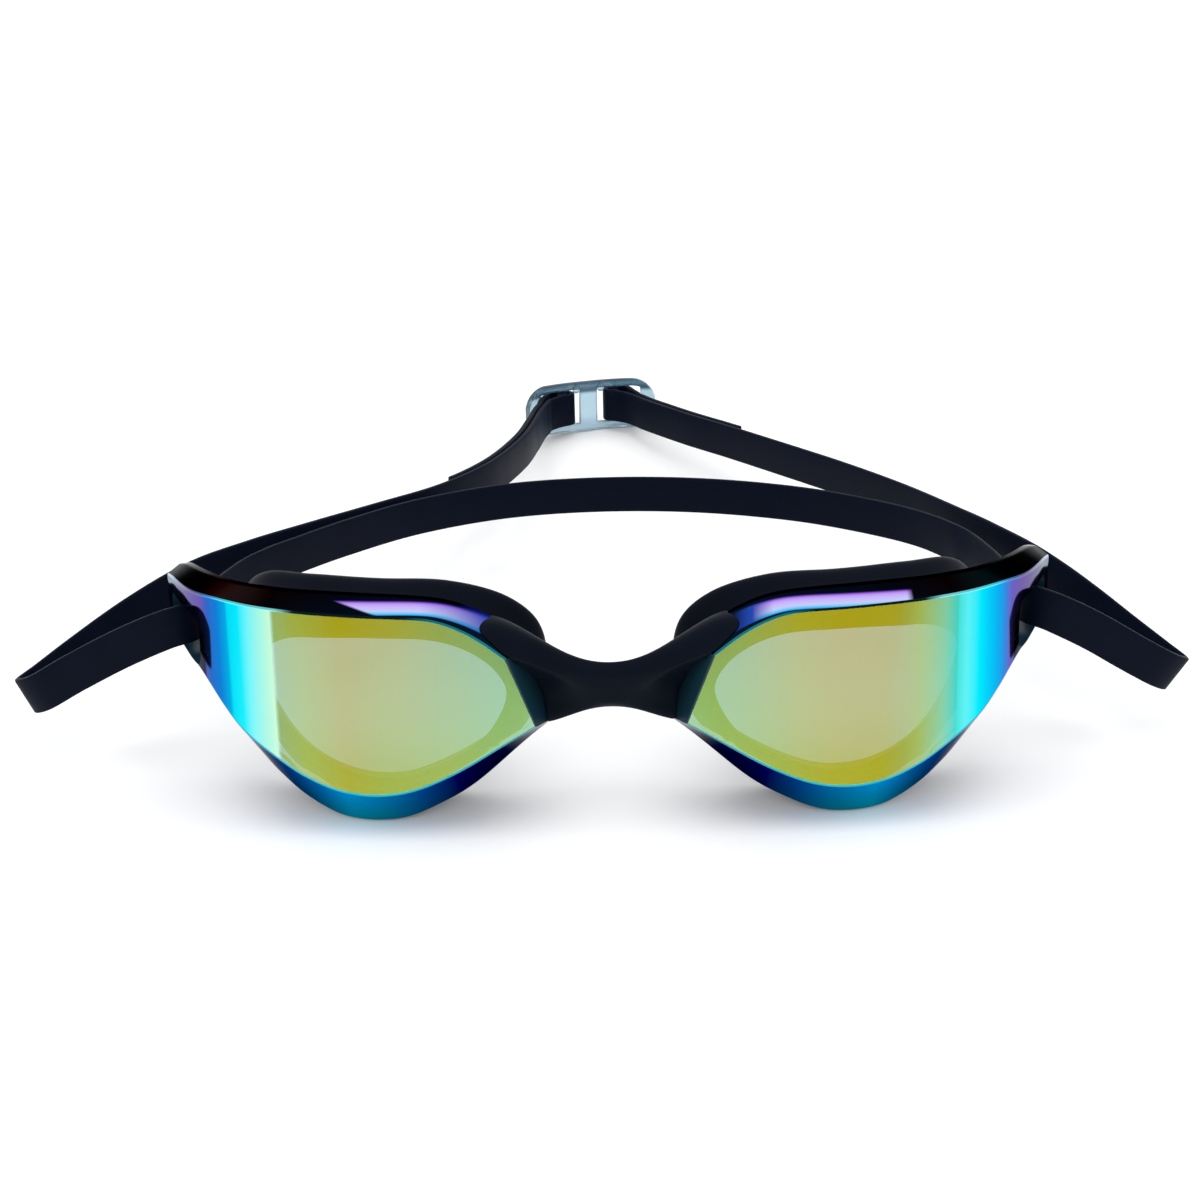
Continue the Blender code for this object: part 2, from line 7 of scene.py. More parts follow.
import logging
import math
from collections.abc import Callable, Sequence
from dataclasses import dataclass
from enum import Enum

import bmesh
import bpy
from mathutils import Matrix, Vector


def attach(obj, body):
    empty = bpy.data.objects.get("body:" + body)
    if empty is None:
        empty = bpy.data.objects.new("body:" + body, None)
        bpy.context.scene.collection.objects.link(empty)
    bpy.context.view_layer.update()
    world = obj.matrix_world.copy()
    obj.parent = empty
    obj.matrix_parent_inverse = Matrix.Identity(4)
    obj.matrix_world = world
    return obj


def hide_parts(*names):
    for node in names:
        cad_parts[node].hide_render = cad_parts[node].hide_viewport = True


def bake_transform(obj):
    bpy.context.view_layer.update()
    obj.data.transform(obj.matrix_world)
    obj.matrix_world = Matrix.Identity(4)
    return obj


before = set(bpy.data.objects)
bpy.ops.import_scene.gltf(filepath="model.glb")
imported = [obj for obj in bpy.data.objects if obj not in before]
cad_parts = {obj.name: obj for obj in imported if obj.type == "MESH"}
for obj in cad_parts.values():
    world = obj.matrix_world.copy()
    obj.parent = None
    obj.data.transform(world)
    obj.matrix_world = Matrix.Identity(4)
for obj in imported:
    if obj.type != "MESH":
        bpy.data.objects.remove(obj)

LOG = logging.getLogger("goggles")
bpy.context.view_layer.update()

MM = 0.001
REST_PITCH = math.radians(9.04)
REST_SHIFT = Vector((1.4, -80.6, 31.06))
SET_DOWN = Matrix.Translation(REST_SHIFT * MM) @ Matrix.Rotation(-REST_PITCH, 4, "X")
TO_TABLE = SET_DOWN @ Matrix.Scale(MM, 4)

Outline = Sequence[tuple[float, float]]
Colour = tuple[float, float, float]


class Side(Enum):
    """Side of the wearer's face, as the sign of its X."""

    LEFT = 1
    RIGHT = -1

    @property
    def word(self) -> str:
        """Lower-case name, as the CAD nodes use it."""
        return self.name.lower()

    @property
    def cup(self) -> str:
        """Name of the body that the eye cup on this side belongs to."""
        return self.word + "_cup"


# --- Smooth lines ---------------------------------------------------------------------------


def smooth_height(points: Outline, at: float) -> float:
    """Height of a smooth line through (along, height) points.

    Args:
        points: the line's points in order of their first number.
        at: where the height is wanted.

    Returns:
        The height, which stays level past either end.
    """
    if at <= points[0][0]:
        return points[0][1]
    for k in range(len(points) - 1):
        a, b = points[k], points[k + 1]
        if at > b[0]:
            continue
        before = points[max(k - 1, 0)]
        after = points[min(k + 2, len(points) - 1)]
        span = b[0] - a[0]
        slope_a = (b[1] - before[1]) / (b[0] - before[0])
        slope_b = (after[1] - a[1]) / (after[0] - a[0])
        t = (at - a[0]) / span
        return ((2 * t**3 - 3 * t**2 + 1) * a[1] + (t**3 - 2 * t**2 + t) * span * slope_a
                + (3 * t**2 - 2 * t**3) * b[1] + (t**3 - t**2) * span * slope_b)
    return points[-1][1]


def spline_point(before: Vector, a: Vector, b: Vector, after: Vector, t: float) -> Vector:
    """Point of a centripetal Catmull-Rom span.

    Args:
        before: control point before the span.
        a: start of the span.
        b: end of the span.
        after: control point after the span.
        t: share of the span that is done, from 0 to 1.

    Returns:
        The point on the curve.
    """
    knots = [0.0]
    for first, second in ((before, a), (a, b), (b, after)):
        knots.append(knots[-1] + max((second - first).length, 1e-6) ** 0.5)
    now = knots[1] + t * (knots[2] - knots[1])

    def mix(p: Vector, q: Vector, k0: float, k1: float) -> Vector:
        """Point between p at k0 and q at k1."""
        return p * ((k1 - now) / (k1 - k0)) + q * ((now - k0) / (k1 - k0))

    low = mix(before, a, knots[0], knots[1])
    middle = mix(a, b, knots[1], knots[2])
    high = mix(b, after, knots[2], knots[3])
    return mix(mix(low, middle, knots[0], knots[2]), mix(middle, high, knots[1], knots[3]),
               knots[1], knots[2])


def smooth_path(points: Sequence[Vector], step: float, least: int = 2) -> list[tuple[float, Vector]]:
    """Points on a smooth curve through the given ones.

    Args:
        points: what the curve passes through.
        step: distance between neighbours, roughly.
        least: fewest steps between two given points.

    Returns:
        Pairs of a place in the list of points and the point of the curve there.
    """
    points = [Vector(p) for p in points]
    ends = [points[0] * 2 - points[1], *points, points[-1] * 2 - points[-2]]
    path = []
    for k in range(len(points) - 1):
        count = max(least, round((points[k + 1] - points[k]).length / step))
        for i in range(count):
            path.append((k + i / count, spline_point(*ends[k:k + 4], i / count)))
    path.append((len(points) - 1.0, points[-1]))
    return path


def closed_curve(points: Sequence[Vector], count: int) -> list[Vector]:
    """Evenly numbered points of a smooth closed curve through the given ones."""
    points = [Vector(p) for p in points]
    total = len(points)
    curve = []
    for i in range(count):
        place = i * total / count
        k = int(place)
        around = [points[(k + j - 1) % total] for j in range(4)]
        curve.append(spline_point(*around, place - k))
    return curve


@dataclass(frozen=True)
class BentPattern:
    """Flat pattern bent round an upright line.

    The line is seen from above, from the nose to the temple, and "along" is the distance
    along it, counted from start.
    """

    line: tuple[tuple[float, float], ...]
    start: float

    def place(self, along: float) -> tuple[Vector, Vector]:
        """Point of the line and the direction into the lens there."""
        path = [p for _, p in smooth_path([Vector(p) for p in self.line], 1.0)]
        reach = self.start
        for k in range(len(path) - 1):
            a, b = path[k], path[k + 1]
            span = (b - a).length
            if along <= reach + span or k == len(path) - 2:
                t = (along - reach) / span
                ahead = path[min(k + 2, len(path) - 1)] - a
                behind = b - path[max(k - 1, 0)]
                run = behind.lerp(ahead, min(max(t, 0.0), 1.0)).normalized()
                return a.lerp(b, t), Vector((-run.y, run.x))
            reach += span
        raise ValueError(along)

    def point(self, along: float, height: float, depth: float = 0.0,
              straight_back: float = 0.0) -> Vector:
        """Point of the bent pattern.

        Args:
            along: distance along the bend line.
            height: height in the pattern.
            depth: distance behind the pattern's face.
            straight_back: share by which depth turns from square to the face to straight back.

        Returns:
            The point in the head frame.
        """
        spot, inwards = self.place(along)
        inwards = inwards.lerp(Vector((0.0, 1.0)), straight_back).normalized()
        spot = spot + inwards * depth
        return Vector((spot.x, spot.y, height))


PATTERN = BentPattern(
    line=((8, 1.9), (20, 0.6), (28, 0.6), (36, 0.6), (47, 1.7), (56, 3.9), (62, 7.3),
          (66, 11.6), (69.5, 17.6), (72.4, 24.4), (74.7, 31.1), (77.0, 37.6)),
    start=8.0,
)


# --- Shader graphs --------------------------------------------------------------------------


@dataclass(frozen=True)
class Wire:
    """Number that comes out of a node and takes part in sums."""

    tree: bpy.types.NodeTree
    output: bpy.types.NodeSocket

    def _math(self, operation: str, first: "Wire | float", second: "Wire | float",
              clamp: bool = False) -> "Wire":
        """Math node over two numbers."""
        node = self.tree.nodes.new("ShaderNodeMath")
        node.operation = operation
        node.use_clamp = clamp
        for slot, value in zip(node.inputs, (first, second)):
            if isinstance(value, Wire):
                self.tree.links.new(value.output, slot)
            else:
                slot.default_value = value
        return Wire(self.tree, node.outputs[0])

    def __add__(self, other: "Wire | float") -> "Wire":
        """Sum."""
        return self._math("ADD", self, other)

    __radd__ = __add__

    def __sub__(self, other: "Wire | float") -> "Wire":
        """Difference."""
        return self._math("SUBTRACT", self, other)

    def __rsub__(self, other: float) -> "Wire":
        """Difference from a plain number."""
        return self._math("SUBTRACT", other, self)

    def __mul__(self, other: "Wire | float") -> "Wire":
        """Product."""
        return self._math("MULTIPLY", self, other)

    __rmul__ = __mul__

    def __truediv__(self, other: "Wire | float") -> "Wire":
        """Quotient."""
        return self._math("DIVIDE", self, other)

    def held(self) -> "Wire":
        """The number held between 0 and 1."""
        return self._math("ADD", self, 0.0, clamp=True)

    def past(self, start: "Wire | float", edge: float) -> "Wire":
        """0 before start, and 1 from start + edge on."""
        return ((self - start) / edge).held()


Stops = tuple[tuple[float, Colour], ...]


class Graph:
    """Node graph of one material."""

    def __init__(self, name: str) -> None:
        """Starts a material with one Principled shader."""
        self.material = bpy.data.materials.new(name)
        self.material.use_nodes = True
        self.tree = self.material.node_tree
        self.shader = self.tree.nodes["Principled BSDF"]

    def node(self, kind: str, settings: dict[str, object], inputs: dict[str | int, object]
             ) -> bpy.types.Node:
        """Adds a node.

        Args:
            kind: the node's type.
            settings: its properties; "stops" are a colour ramp's places and colours.
            inputs: values or links of its sockets, by name or number.

        Returns:
            The node.
        """
        node = self.tree.nodes.new(kind)
        for key, value in settings.items():
            if key != "stops":
                setattr(node, key, value)
                continue
            for _ in value[2:]:
                node.color_ramp.elements.new(0.5)
            for element, (place, colour) in zip(node.color_ramp.elements, value):
                element.position = place
                element.color = (*colour, 1.0)
        for key, value in inputs.items():
            self.feed(node.inputs[key], value)
        return node

    def feed(self, slot: bpy.types.NodeSocket, value: object) -> None:
        """Sets an input to a value, or links it to a number or a socket."""
        if isinstance(value, Wire):
            self.tree.links.new(value.output, slot)
        elif isinstance(value, bpy.types.NodeSocket):
            self.tree.links.new(value, slot)
        elif isinstance(value, tuple) and len(value) == 3 and slot.type == "RGBA":
            slot.default_value = (*value, 1.0)
        else:
            slot.default_value = value

    def surface(self, **values: object) -> None:
        """Feeds the shader's inputs, with _ for each space in their names."""
        for key, value in values.items():
            self.feed(self.shader.inputs[key.replace("_", " ")], value)

    def pattern(self) -> tuple[Wire, Wire]:
        """The piece's own two pattern coordinates."""
        place = self.node("ShaderNodeUVMap", {"uv_map": "pattern"}, {}).outputs[0]
        parts = self.node("ShaderNodeSeparateXYZ", {}, {0: place})
        return Wire(self.tree, parts.outputs[0]), Wire(self.tree, parts.outputs[1])

    def ramp(self, value: Wire, stops: Stops) -> bpy.types.NodeSocket:
        """Colour that follows a number.

        Args:
            value: the number.
            stops: pairs of a number and its colour, in order.

        Returns:
            The colour's socket.
        """
        low, span = stops[0][0], stops[-1][0] - stops[0][0]
        places = [((at - low) / span, colour) for at, colour in stops]
        return self.node("ShaderNodeValToRGB", {"stops": places},
                         {0: (value - low) / span}).outputs[0]

    def mix(self, factor: Wire, first: object, second: object) -> bpy.types.NodeSocket:
        """Colour between two, each a colour or a colour socket."""
        return self.node("ShaderNodeMix", {"data_type": "RGBA"},
                         {0: factor, 6: first, 7: second}).outputs[2]

    def noise(self, size: float, detail: float = 2.0) -> Wire:
        """Noise over the object, with features about size metres across."""
        place = self.node("ShaderNodeTexCoord", {}, {}).outputs["Object"]
        node = self.node("ShaderNodeTexNoise", {},
                         {"Vector": place, "Scale": 1 / size, "Detail": detail})
        return Wire(self.tree, node.outputs[0])

    def bump(self, height: Wire, distance: float, strength: float) -> None:
        """Roughens the surface by a height."""
        node = self.node("ShaderNodeBump", {},
                         {"Height": height, "Distance": distance, "Strength": strength})
        self.surface(Normal=node.outputs[0])


# --- Finishes -------------------------------------------------------------------------------


@dataclass(frozen=True)
class Silicone:
    """Soft moulded silicone with a faint dusty bloom and a fine satin grain."""

    name: str
    base: Colour
    bloom: Colour
    roughness: float
    specular: float

    def make(self) -> bpy.types.Material:
        """Builds the material."""
        graph = Graph(self.name)
        cloud = graph.noise(0.006)
        grain = graph.noise(0.0003)
        graph.surface(Base_Color=graph.mix(cloud, self.base, self.bloom),
                      Roughness=cloud * 0.14 + (self.roughness - 0.07),
                      Specular_IOR_Level=self.specular, Sheen_Weight=0.05,
                      Sheen_Roughness=0.25, Sheen_Tint=(0.35, 0.50, 0.75))
        graph.bump(grain, 0.00002, 0.3)
        return graph.material


@dataclass(frozen=True)
class Coating:
    """Mirror coating whose colour follows the lens's own pattern.

    The first pattern coordinate is the distance along the lens in centimetres. The second runs
    from 0 to 1 across the part of the lens that the coating is on.
    """

    name: str
    low: Stops
    high: Stops
    roughness: float
    metal: float = 1.0
    rim_shade: float = 1.0

    def colour(self, graph: Graph, along: Wire, across: Wire) -> bpy.types.NodeSocket:
        """Colour between the low and the high stops."""
        return graph.mix(across, graph.ramp(along, self.low), graph.ramp(along, self.high))

    def paint(self, graph: Graph, along: Wire, across: Wire) -> None:
        """Feeds the shader of this coating."""
        graph.surface(Base_Color=self.colour(graph, along, across))

    def make(self) -> bpy.types.Material:
        """Builds the material."""
        graph = Graph(self.name)
        haze = graph.noise(0.003)
        graph.surface(Metallic=self.metal, Roughness=haze * 0.04 + (self.roughness - 0.02),
                      Specular_Tint=(self.rim_shade,) * 3)
        self.paint(graph, *graph.pattern())
        return graph.material


@dataclass(frozen=True)
class FaceCoating(Coating):
    """Coating of the lens's face, see-through up to the fold, with painted shade round the strap
    slot.
    """

    fold: float = 5.46
    veil: float = 5.4
    seen_through: float = 0.3
    slot_shade: Colour = (0.008, 0.014, 0.036)
    slot_start: float = 7.04
    slot_top: float = 0.66
    veil_width: float = 0.7
    edge: float = 0.04

    def paint(self, graph: Graph, along: Wire, across: Wire) -> None:
        """Feeds the shader of this coating."""
        colour = self.colour(graph, along, across)
        # Painted shade: past slot_start and below slot_top, the face takes slot_shade, a dark navy
        # that stands for the shade round the strap slot and for the dark that the turned face
        # reflects there.
        corner = across.past(0.52, 0.3) * 0.6 + self.slot_start
        slot_shade_mask = along.past(corner, 0.05) * (1 - across.past(self.slot_top, self.edge))
        solid = (along.past(self.fold - 0.02, self.edge) * 0.2
                 + along.past(self.veil, self.veil_width) * 0.8)
        solid = (solid + along.past(self.fold, self.edge)).held()
        graph.surface(Base_Color=graph.mix(slot_shade_mask, colour, self.slot_shade),
                      Alpha=solid * self.seen_through + (1 - self.seen_through))


@dataclass(frozen=True)
class BrowCoating(Coating):
    """Coating of the upper bevel, with a painted reflection: a bright banded stripe that runs
    towards the nose, with a faint painted emission.
    """

    painted_streak: tuple[float, float] = (2.0, 4.4)
    level: float = 3.9
    slant: float = 0.95
    fade: float = 1.3
    bands: Stops = ((0.0, (0.03, 0.62, 0.85)), (0.08, (0.22, 0.90, 1.0)),
                    (0.20, (0.92, 0.95, 1.0)), (0.42, (0.92, 0.74, 1.0)),
                    (0.57, (0.82, 0.50, 1.0)), (0.65, (0.55, 0.20, 0.60)),
                    (0.71, (0.14, 0.02, 0.06)), (0.78, (0.02, 0.012, 0.03)))
    reflection_nose_end: Colour = (0.03, 0.10, 0.62)
    painted_glow: Colour = (0.02, 0.02, 0.32)

    def paint(self, graph: Graph, along: Wire, across: Wire) -> None:
        """Feeds the shader of this coating."""
        colour = self.colour(graph, along, across)
        # Painted reflection: a bright stripe of banded colours across the bevel, fading to blue
        # towards the nose and carrying a faint painted emission, stands for a light mirrored in it.
        start, end = self.painted_streak
        height = across - (self.level - along) * 0.13 - 0.05
        edge = end + (height - 0.7) * self.slant
        lit = (1 - along.past(edge, 0.10)) * along.past(start - 0.35, 0.3)
        lit = lit * height.past(-0.04, 0.05) * (1 - height.past(0.68, 0.08))
        dim = along.past(start, self.fade)
        bands = graph.mix(dim, self.reflection_nose_end, graph.ramp(height, self.bands))
        graph.surface(Base_Color=graph.mix(lit, colour, bands),
                      Emission_Color=graph.mix(lit * dim, (0.0, 0.0, 0.0), self.painted_glow),
                      Emission_Strength=1.0)


@dataclass(frozen=True)
class TintedPlastic:
    """Clear moulded plastic whose tint, and any shade painted into it, follows the piece's second
    pattern coordinate.
    """

    name: str
    tints_and_shade: Stops
    transmission: float
    refraction: float
    roughness: float

    def make(self) -> bpy.types.Material:
        """Builds the material."""
        graph = Graph(self.name)
        graph.surface(Transmission_Weight=self.transmission, IOR=self.refraction,
                      Roughness=self.roughness)
        if len(self.tints_and_shade) == 1:
            graph.surface(Base_Color=self.tints_and_shade[0][1])
        else:
            graph.surface(Base_Color=graph.ramp(graph.pattern()[1], self.tints_and_shade))
        return graph.material


@dataclass(frozen=True)
class PlainFloor:
    """Even pale floor."""

    name: str
    tint: Colour

    def make(self) -> bpy.types.Material:
        """Builds the material."""
        graph = Graph(self.name)
        graph.surface(Base_Color=self.tint, Roughness=0.9, Specular_IOR_Level=0.1)
        return graph.material


SMOKE_BLUE: Colour = (0.11, 0.20, 0.62)
# Face colours: the coating's own tints, from yellow-olive by the nose through green, cyan and blue
# to violet at the temple, partly painted reflection; the sharp step to pale green at the fold is a
# painted reflection edge.
FACES = {
    Side.RIGHT: FaceCoating(
        "coating_face_right",
        (
            (0.8, (0.30, 0.56, 0.18)), (1.8, (0.32, 0.56, 0.165)), (2.6, (0.40, 0.55, 0.13)),
            (3.7, (0.42, 0.53, 0.085)), (4.3, (0.48, 0.48, 0.055)), (5.0, (0.42, 0.56, 0.12)),
            (5.43, (0.35, 0.52, 0.20)), (5.47, (0.50, 0.76, 0.55)), (5.61, (0.39, 0.74, 0.58)),
            (5.76, (0.29, 0.73, 0.655)), (5.92, (0.18, 0.73, 0.75)), (6.1, (0.01, 0.68, 0.75)),
            (6.32, (0.0, 0.60, 0.735)), (6.37, (0.0, 0.35, 0.60)), (6.6, (0.0, 0.176, 0.56)),
            (6.9, (0.01, 0.13, 0.50)), (7.1, (0.10, 0.075, 0.40)), (8.2, (0.12, 0.09, 0.34)),
            (8.8, (0.03, 0.20, 0.40)), (9.5, (0.04, 0.24, 0.36)),
        ),
        (
            (0.8, (0.24, 0.45, 0.16)), (1.8, (0.26, 0.44, 0.15)), (2.6, (0.30, 0.42, 0.10)),
            (3.4, (0.40, 0.40, 0.043)), (4.35, (0.425, 0.375, 0.01)), (5.1, (0.38, 0.45, 0.06)),
            (5.43, (0.33, 0.48, 0.14)), (5.47, (0.46, 0.74, 0.52)), (5.61, (0.34, 0.73, 0.57)),
            (5.76, (0.24, 0.70, 0.64)), (5.92, (0.11, 0.70, 0.74)), (6.1, (0.0, 0.62, 0.74)),
            (6.32, (0.0, 0.54, 0.71)), (6.37, (0.0, 0.30, 0.58)), (6.6, (0.0, 0.16, 0.54)),
            (6.9, (0.02, 0.10, 0.46)), (7.1, (0.12, 0.08, 0.40)), (8.2, (0.14, 0.10, 0.36)),
            (8.8, (0.03, 0.20, 0.40)), (9.5, (0.04, 0.24, 0.36)),
        ),
        roughness=0.07, rim_shade=0.6,
    ),
    Side.LEFT: FaceCoating(
        "coating_face_left",
        (
            (0.8, (0.30, 0.56, 0.17)), (1.8, (0.35, 0.55, 0.13)), (2.6, (0.41, 0.53, 0.09)),
            (3.5, (0.48, 0.49, 0.04)), (4.4, (0.47, 0.46, 0.03)), (5.0, (0.38, 0.50, 0.12)),
            (5.4, (0.24, 0.53, 0.32)), (5.66, (0.06, 0.56, 0.50)), (5.70, (0.06, 0.62, 0.56)),
            (5.85, (0.10, 0.70, 0.71)), (6.1, (0.0, 0.67, 0.76)), (6.3, (0.0, 0.50, 0.75)),
            (6.55, (0.0, 0.36, 0.70)), (6.75, (0.02, 0.22, 0.64)), (6.92, (0.12, 0.11, 0.50)),
            (7.4, (0.12, 0.07, 0.30)), (8.2, (0.09, 0.08, 0.27)), (8.8, (0.04, 0.14, 0.30)),
            (9.5, (0.04, 0.17, 0.28)),
        ),
        (
            (0.8, (0.24, 0.46, 0.15)), (2.0, (0.30, 0.43, 0.10)), (3.0, (0.42, 0.40, 0.02)),
            (3.8, (0.44, 0.37, 0.01)), (4.6, (0.42, 0.38, 0.015)), (5.0, (0.35, 0.44, 0.08)),
            (5.4, (0.20, 0.47, 0.25)), (5.66, (0.05, 0.50, 0.40)), (5.70, (0.05, 0.58, 0.54)),
            (5.85, (0.08, 0.66, 0.69)), (6.1, (0.0, 0.62, 0.74)), (6.3, (0.0, 0.45, 0.72)),
            (6.55, (0.0, 0.31, 0.68)), (6.75, (0.03, 0.18, 0.58)), (6.92, (0.13, 0.09, 0.45)),
            (7.4, (0.15, 0.08, 0.35)), (8.2, (0.10, 0.08, 0.30)), (8.8, (0.04, 0.14, 0.30)),
            (9.5, (0.04, 0.17, 0.28)),
        ),
        roughness=0.07, rim_shade=0.6, fold=5.68, veil=4.75,
    ),
}
CHIN_COATING = Coating(
    "coating_chin",
    (
        (0.8, (0.004, 0.020, 0.06)), (1.6, (0.006, 0.020, 0.10)), (2.4, (0.006, 0.012, 0.19)),
        (3.06, (0.001, 0.12, 0.48)), (3.8, (0.0, 0.28, 0.62)), (4.35, (0.0, 0.44, 0.92)),
        (4.8, (0.0, 0.32, 0.82)), (5.4, (0.004, 0.13, 0.60)), (6.2, (0.03, 0.11, 0.48)),
        (6.9, (0.07, 0.13, 0.40)), (7.2, (0.02, 0.025, 0.08)), (9.5, (0.015, 0.02, 0.05)),
    ),
    (
        (0.8, (0.004, 0.018, 0.05)), (1.6, (0.005, 0.020, 0.08)), (2.4, (0.004, 0.020, 0.13)),
        (3.06, (0.0, 0.16, 0.38)), (3.8, (0.0, 0.36, 0.48)), (4.35, (0.0, 0.46, 0.60)),
        (4.8, (0.0, 0.32, 0.52)), (5.4, (0.004, 0.12, 0.38)), (6.2, (0.02, 0.08, 0.30)),
        (6.9, (0.05, 0.07, 0.24)), (7.2, (0.02, 0.025, 0.07)), (9.5, (0.015, 0.02, 0.05)),
    ),
    roughness=0.10, rim_shade=0.3,
)
BROWS = {
    side: BrowCoating(
        "brow_coating_and_painted_reflection_" + side.word,
        (
            (0.8, (0.003, 0.020, 0.035)), (2.0, (0.004, 0.014, 0.030)),
            (4.4, (0.004, 0.007, 0.014)), (5.6, (0.008, 0.006, 0.008)), (6.6, temple),
            (7.6, temple), (8.6, (0.030, 0.034, 0.036)), (9.5, (0.05, 0.07, 0.08)),
        ),
        (
            (0.8, (0.003, 0.015, 0.03)), (2.0, (0.004, 0.010, 0.024)),
            (4.4, (0.004, 0.006, 0.012)), (5.6, (0.010, 0.006, 0.006)), (6.6, temple),
            (7.6, temple), (8.6, (0.060, 0.062, 0.064)), (9.5, (0.07, 0.09, 0.10)),
        ),
        roughness=0.14, rim_shade=0.3, painted_streak=reach, level=level, slant=slant, fade=fade,
    )
    for side, reach, level, slant, fade, temple in (
        (Side.RIGHT, (1.85, 4.38), 3.9, 0.95, 1.2, (0.045, 0.026, 0.026)),
        (Side.LEFT, (2.3, 4.84), 3.2, 0.06, 0.35, (0.014, 0.024, 0.026)),
    )
}
NOSE_COATING = Coating(
    "coating_nose",
    ((0.8, (0.003, 0.022, 0.036)), (2.4, (0.003, 0.028, 0.036))),
    ((0.8, (0.002, 0.008, 0.016)), (2.4, (0.002, 0.010, 0.018))),
    roughness=0.30, metal=0.0,
)
# Painted highlight: thin bright lines along the rounded creases, cyan along the foot and pale cyan
# on the top towards the temple, in the coating's tints.
CREASE_HIGHLIGHT = Coating(
    "crease_painted_highlight",
    (
        (0.8, (0.02, 0.22, 0.32)), (2.0, (0.03, 0.36, 0.46)), (3.6, (0.04, 0.50, 0.50)),
        (5.0, (0.04, 0.48, 0.55)), (6.0, (0.02, 0.35, 0.55)), (6.9, (0.04, 0.16, 0.40)),
        (7.2, (0.03, 0.04, 0.12)), (9.5, (0.02, 0.03, 0.08)),
    ),
    (
        (0.8, (0.01, 0.06, 0.08)), (2.0, (0.02, 0.30, 0.36)), (2.9, (0.01, 0.22, 0.26)),
        (3.3, (0.004, 0.02, 0.025)), (5.1, (0.004, 0.02, 0.02)), (5.4, (0.30, 0.90, 0.90)),
        (6.3, (0.10, 0.85, 0.95)), (6.8, (0.02, 0.25, 0.60)), (7.4, (0.06, 0.05, 0.20)),
        (8.6, (0.10, 0.14, 0.24)), (9.5, (0.30, 0.50, 0.60)),
    ),
    roughness=0.10,
)
LENS_BODY = TintedPlastic("lens_body", ((0.0, SMOKE_BLUE),), 1.0, 1.02, 0.03)
SEAL_SILICONE = Silicone("seal_silicone", (0.0012, 0.0020, 0.0050), (0.0020, 0.0034, 0.0080),
                         0.44, 0.035)
BRIDGE_SILICONE = Silicone("bridge_silicone", (0.0012, 0.0028, 0.0065), (0.0022, 0.0044, 0.0095),
                           0.40, 0.06)
STRAP_SILICONE = Silicone("strap_silicone", (0.0018, 0.0032, 0.0090), (0.0030, 0.0052, 0.0130),
                          0.46, 0.045)
# Up the clip: pale blue below and across the middle, and a dark top rail painted to stand for shade
# and for the dark strap seen through it from behind.
CLIP_PLASTIC = TintedPlastic(
    "clip_plastic",
    ((-1.0, (0.52, 0.70, 0.80)), (-0.62, (0.42, 0.60, 0.72)), (-0.5, (0.50, 0.66, 0.76)),
     (0.5, (0.42, 0.60, 0.70)), (0.62, (0.03, 0.07, 0.11)), (0.86, (0.10, 0.19, 0.26)),
     (1.0, (0.02, 0.05, 0.08))),
    0.86, 1.5, 0.06)
FLOOR = PlainFloor("floor", (0.92, 0.92, 0.92))


# --- Meshes ---------------------------------------------------------------------------------


def join_rings(bm: bmesh.types.BMesh, rings: Sequence[Sequence[bmesh.types.BMVert]],
               closed: bool = False) -> list[list[bmesh.types.BMFace]]:
    """Skins rings of vertices with quads.

    Args:
        bm: the mesh.
        rings: rings of equal length.
        closed: whether the last ring joins the first.

    Returns:
        The faces, as one list for each pair of rings.
    """
    pairs = list(zip(rings, rings[1:]))
    if closed:
        pairs.append((rings[-1], rings[0]))
    bands = []
    for a, b in pairs:
        count = len(a)
        bands.append([bm.faces.new((a[i], a[(i + 1) % count], b[(i + 1) % count], b[i]))
                      for i in range(count)])
    return bands


def finish_mesh(name: str, bm: bmesh.types.BMesh, side: Side = Side.LEFT,
                materials: Sequence[bpy.types.Material] = ()) -> bpy.types.Object:
    """Object of a bmesh drawn in millimetres, still in the head frame.

    Args:
        name: the object's name.
        bm: the mesh, which is freed.
        side: RIGHT mirrors it to the other side of the face.
        materials: its materials in slot order.

    Returns:
        The linked object.
    """
    if side is Side.RIGHT:
        bmesh.ops.scale(bm, vec=(-1, 1, 1), verts=bm.verts)
    bmesh.ops.recalc_face_normals(bm, faces=bm.faces)
    mesh = bpy.data.meshes.new(name)
    bm.to_mesh(mesh)
    bm.free()
    for material in materials:
        mesh.materials.append(material)
    obj = bpy.data.objects.new(name, mesh)
    bpy.context.scene.collection.objects.link(obj)
    return obj


def bake_modifiers(obj: bpy.types.Object) -> None:
    """Turns an object with modifiers into its plain result."""
    dg = bpy.context.evaluated_depsgraph_get()
    plain = bpy.data.meshes.new_from_object(obj.evaluated_get(dg), depsgraph=dg)
    obj.modifiers.clear()
    old = obj.data
    obj.data = plain
    bpy.data.meshes.remove(old)
    plain.name = obj.name


def settle(obj: bpy.types.Object, sharp_angle: float = 38.0) -> bpy.types.Object:
    """Applies an object's modifiers, sets it down on the table and smooths its shading."""
    bake_modifiers(obj)
    obj.data.transform(TO_TABLE)
    obj.data.shade_smooth()
    obj.data.set_sharp_from_angle(angle=math.radians(sharp_angle))
    return obj


def add_cut(target: bpy.types.Object, cutter: bpy.types.Object) -> None:
    """Cuts one object out of another with a Boolean modifier."""
    cutter.hide_render = True
    cutter.display_type = "WIRE"
    cut = target.modifiers.new("cut", "BOOLEAN")
    cut.operation = "DIFFERENCE"
    cut.object = cutter


def report(obj: bpy.types.Object) -> None:
    """Logs a finished piece."""
    LOG.info("%s: %d faces", obj.name, len(obj.data.polygons))


# --- Lenses ---------------------------------------------------------------------------------


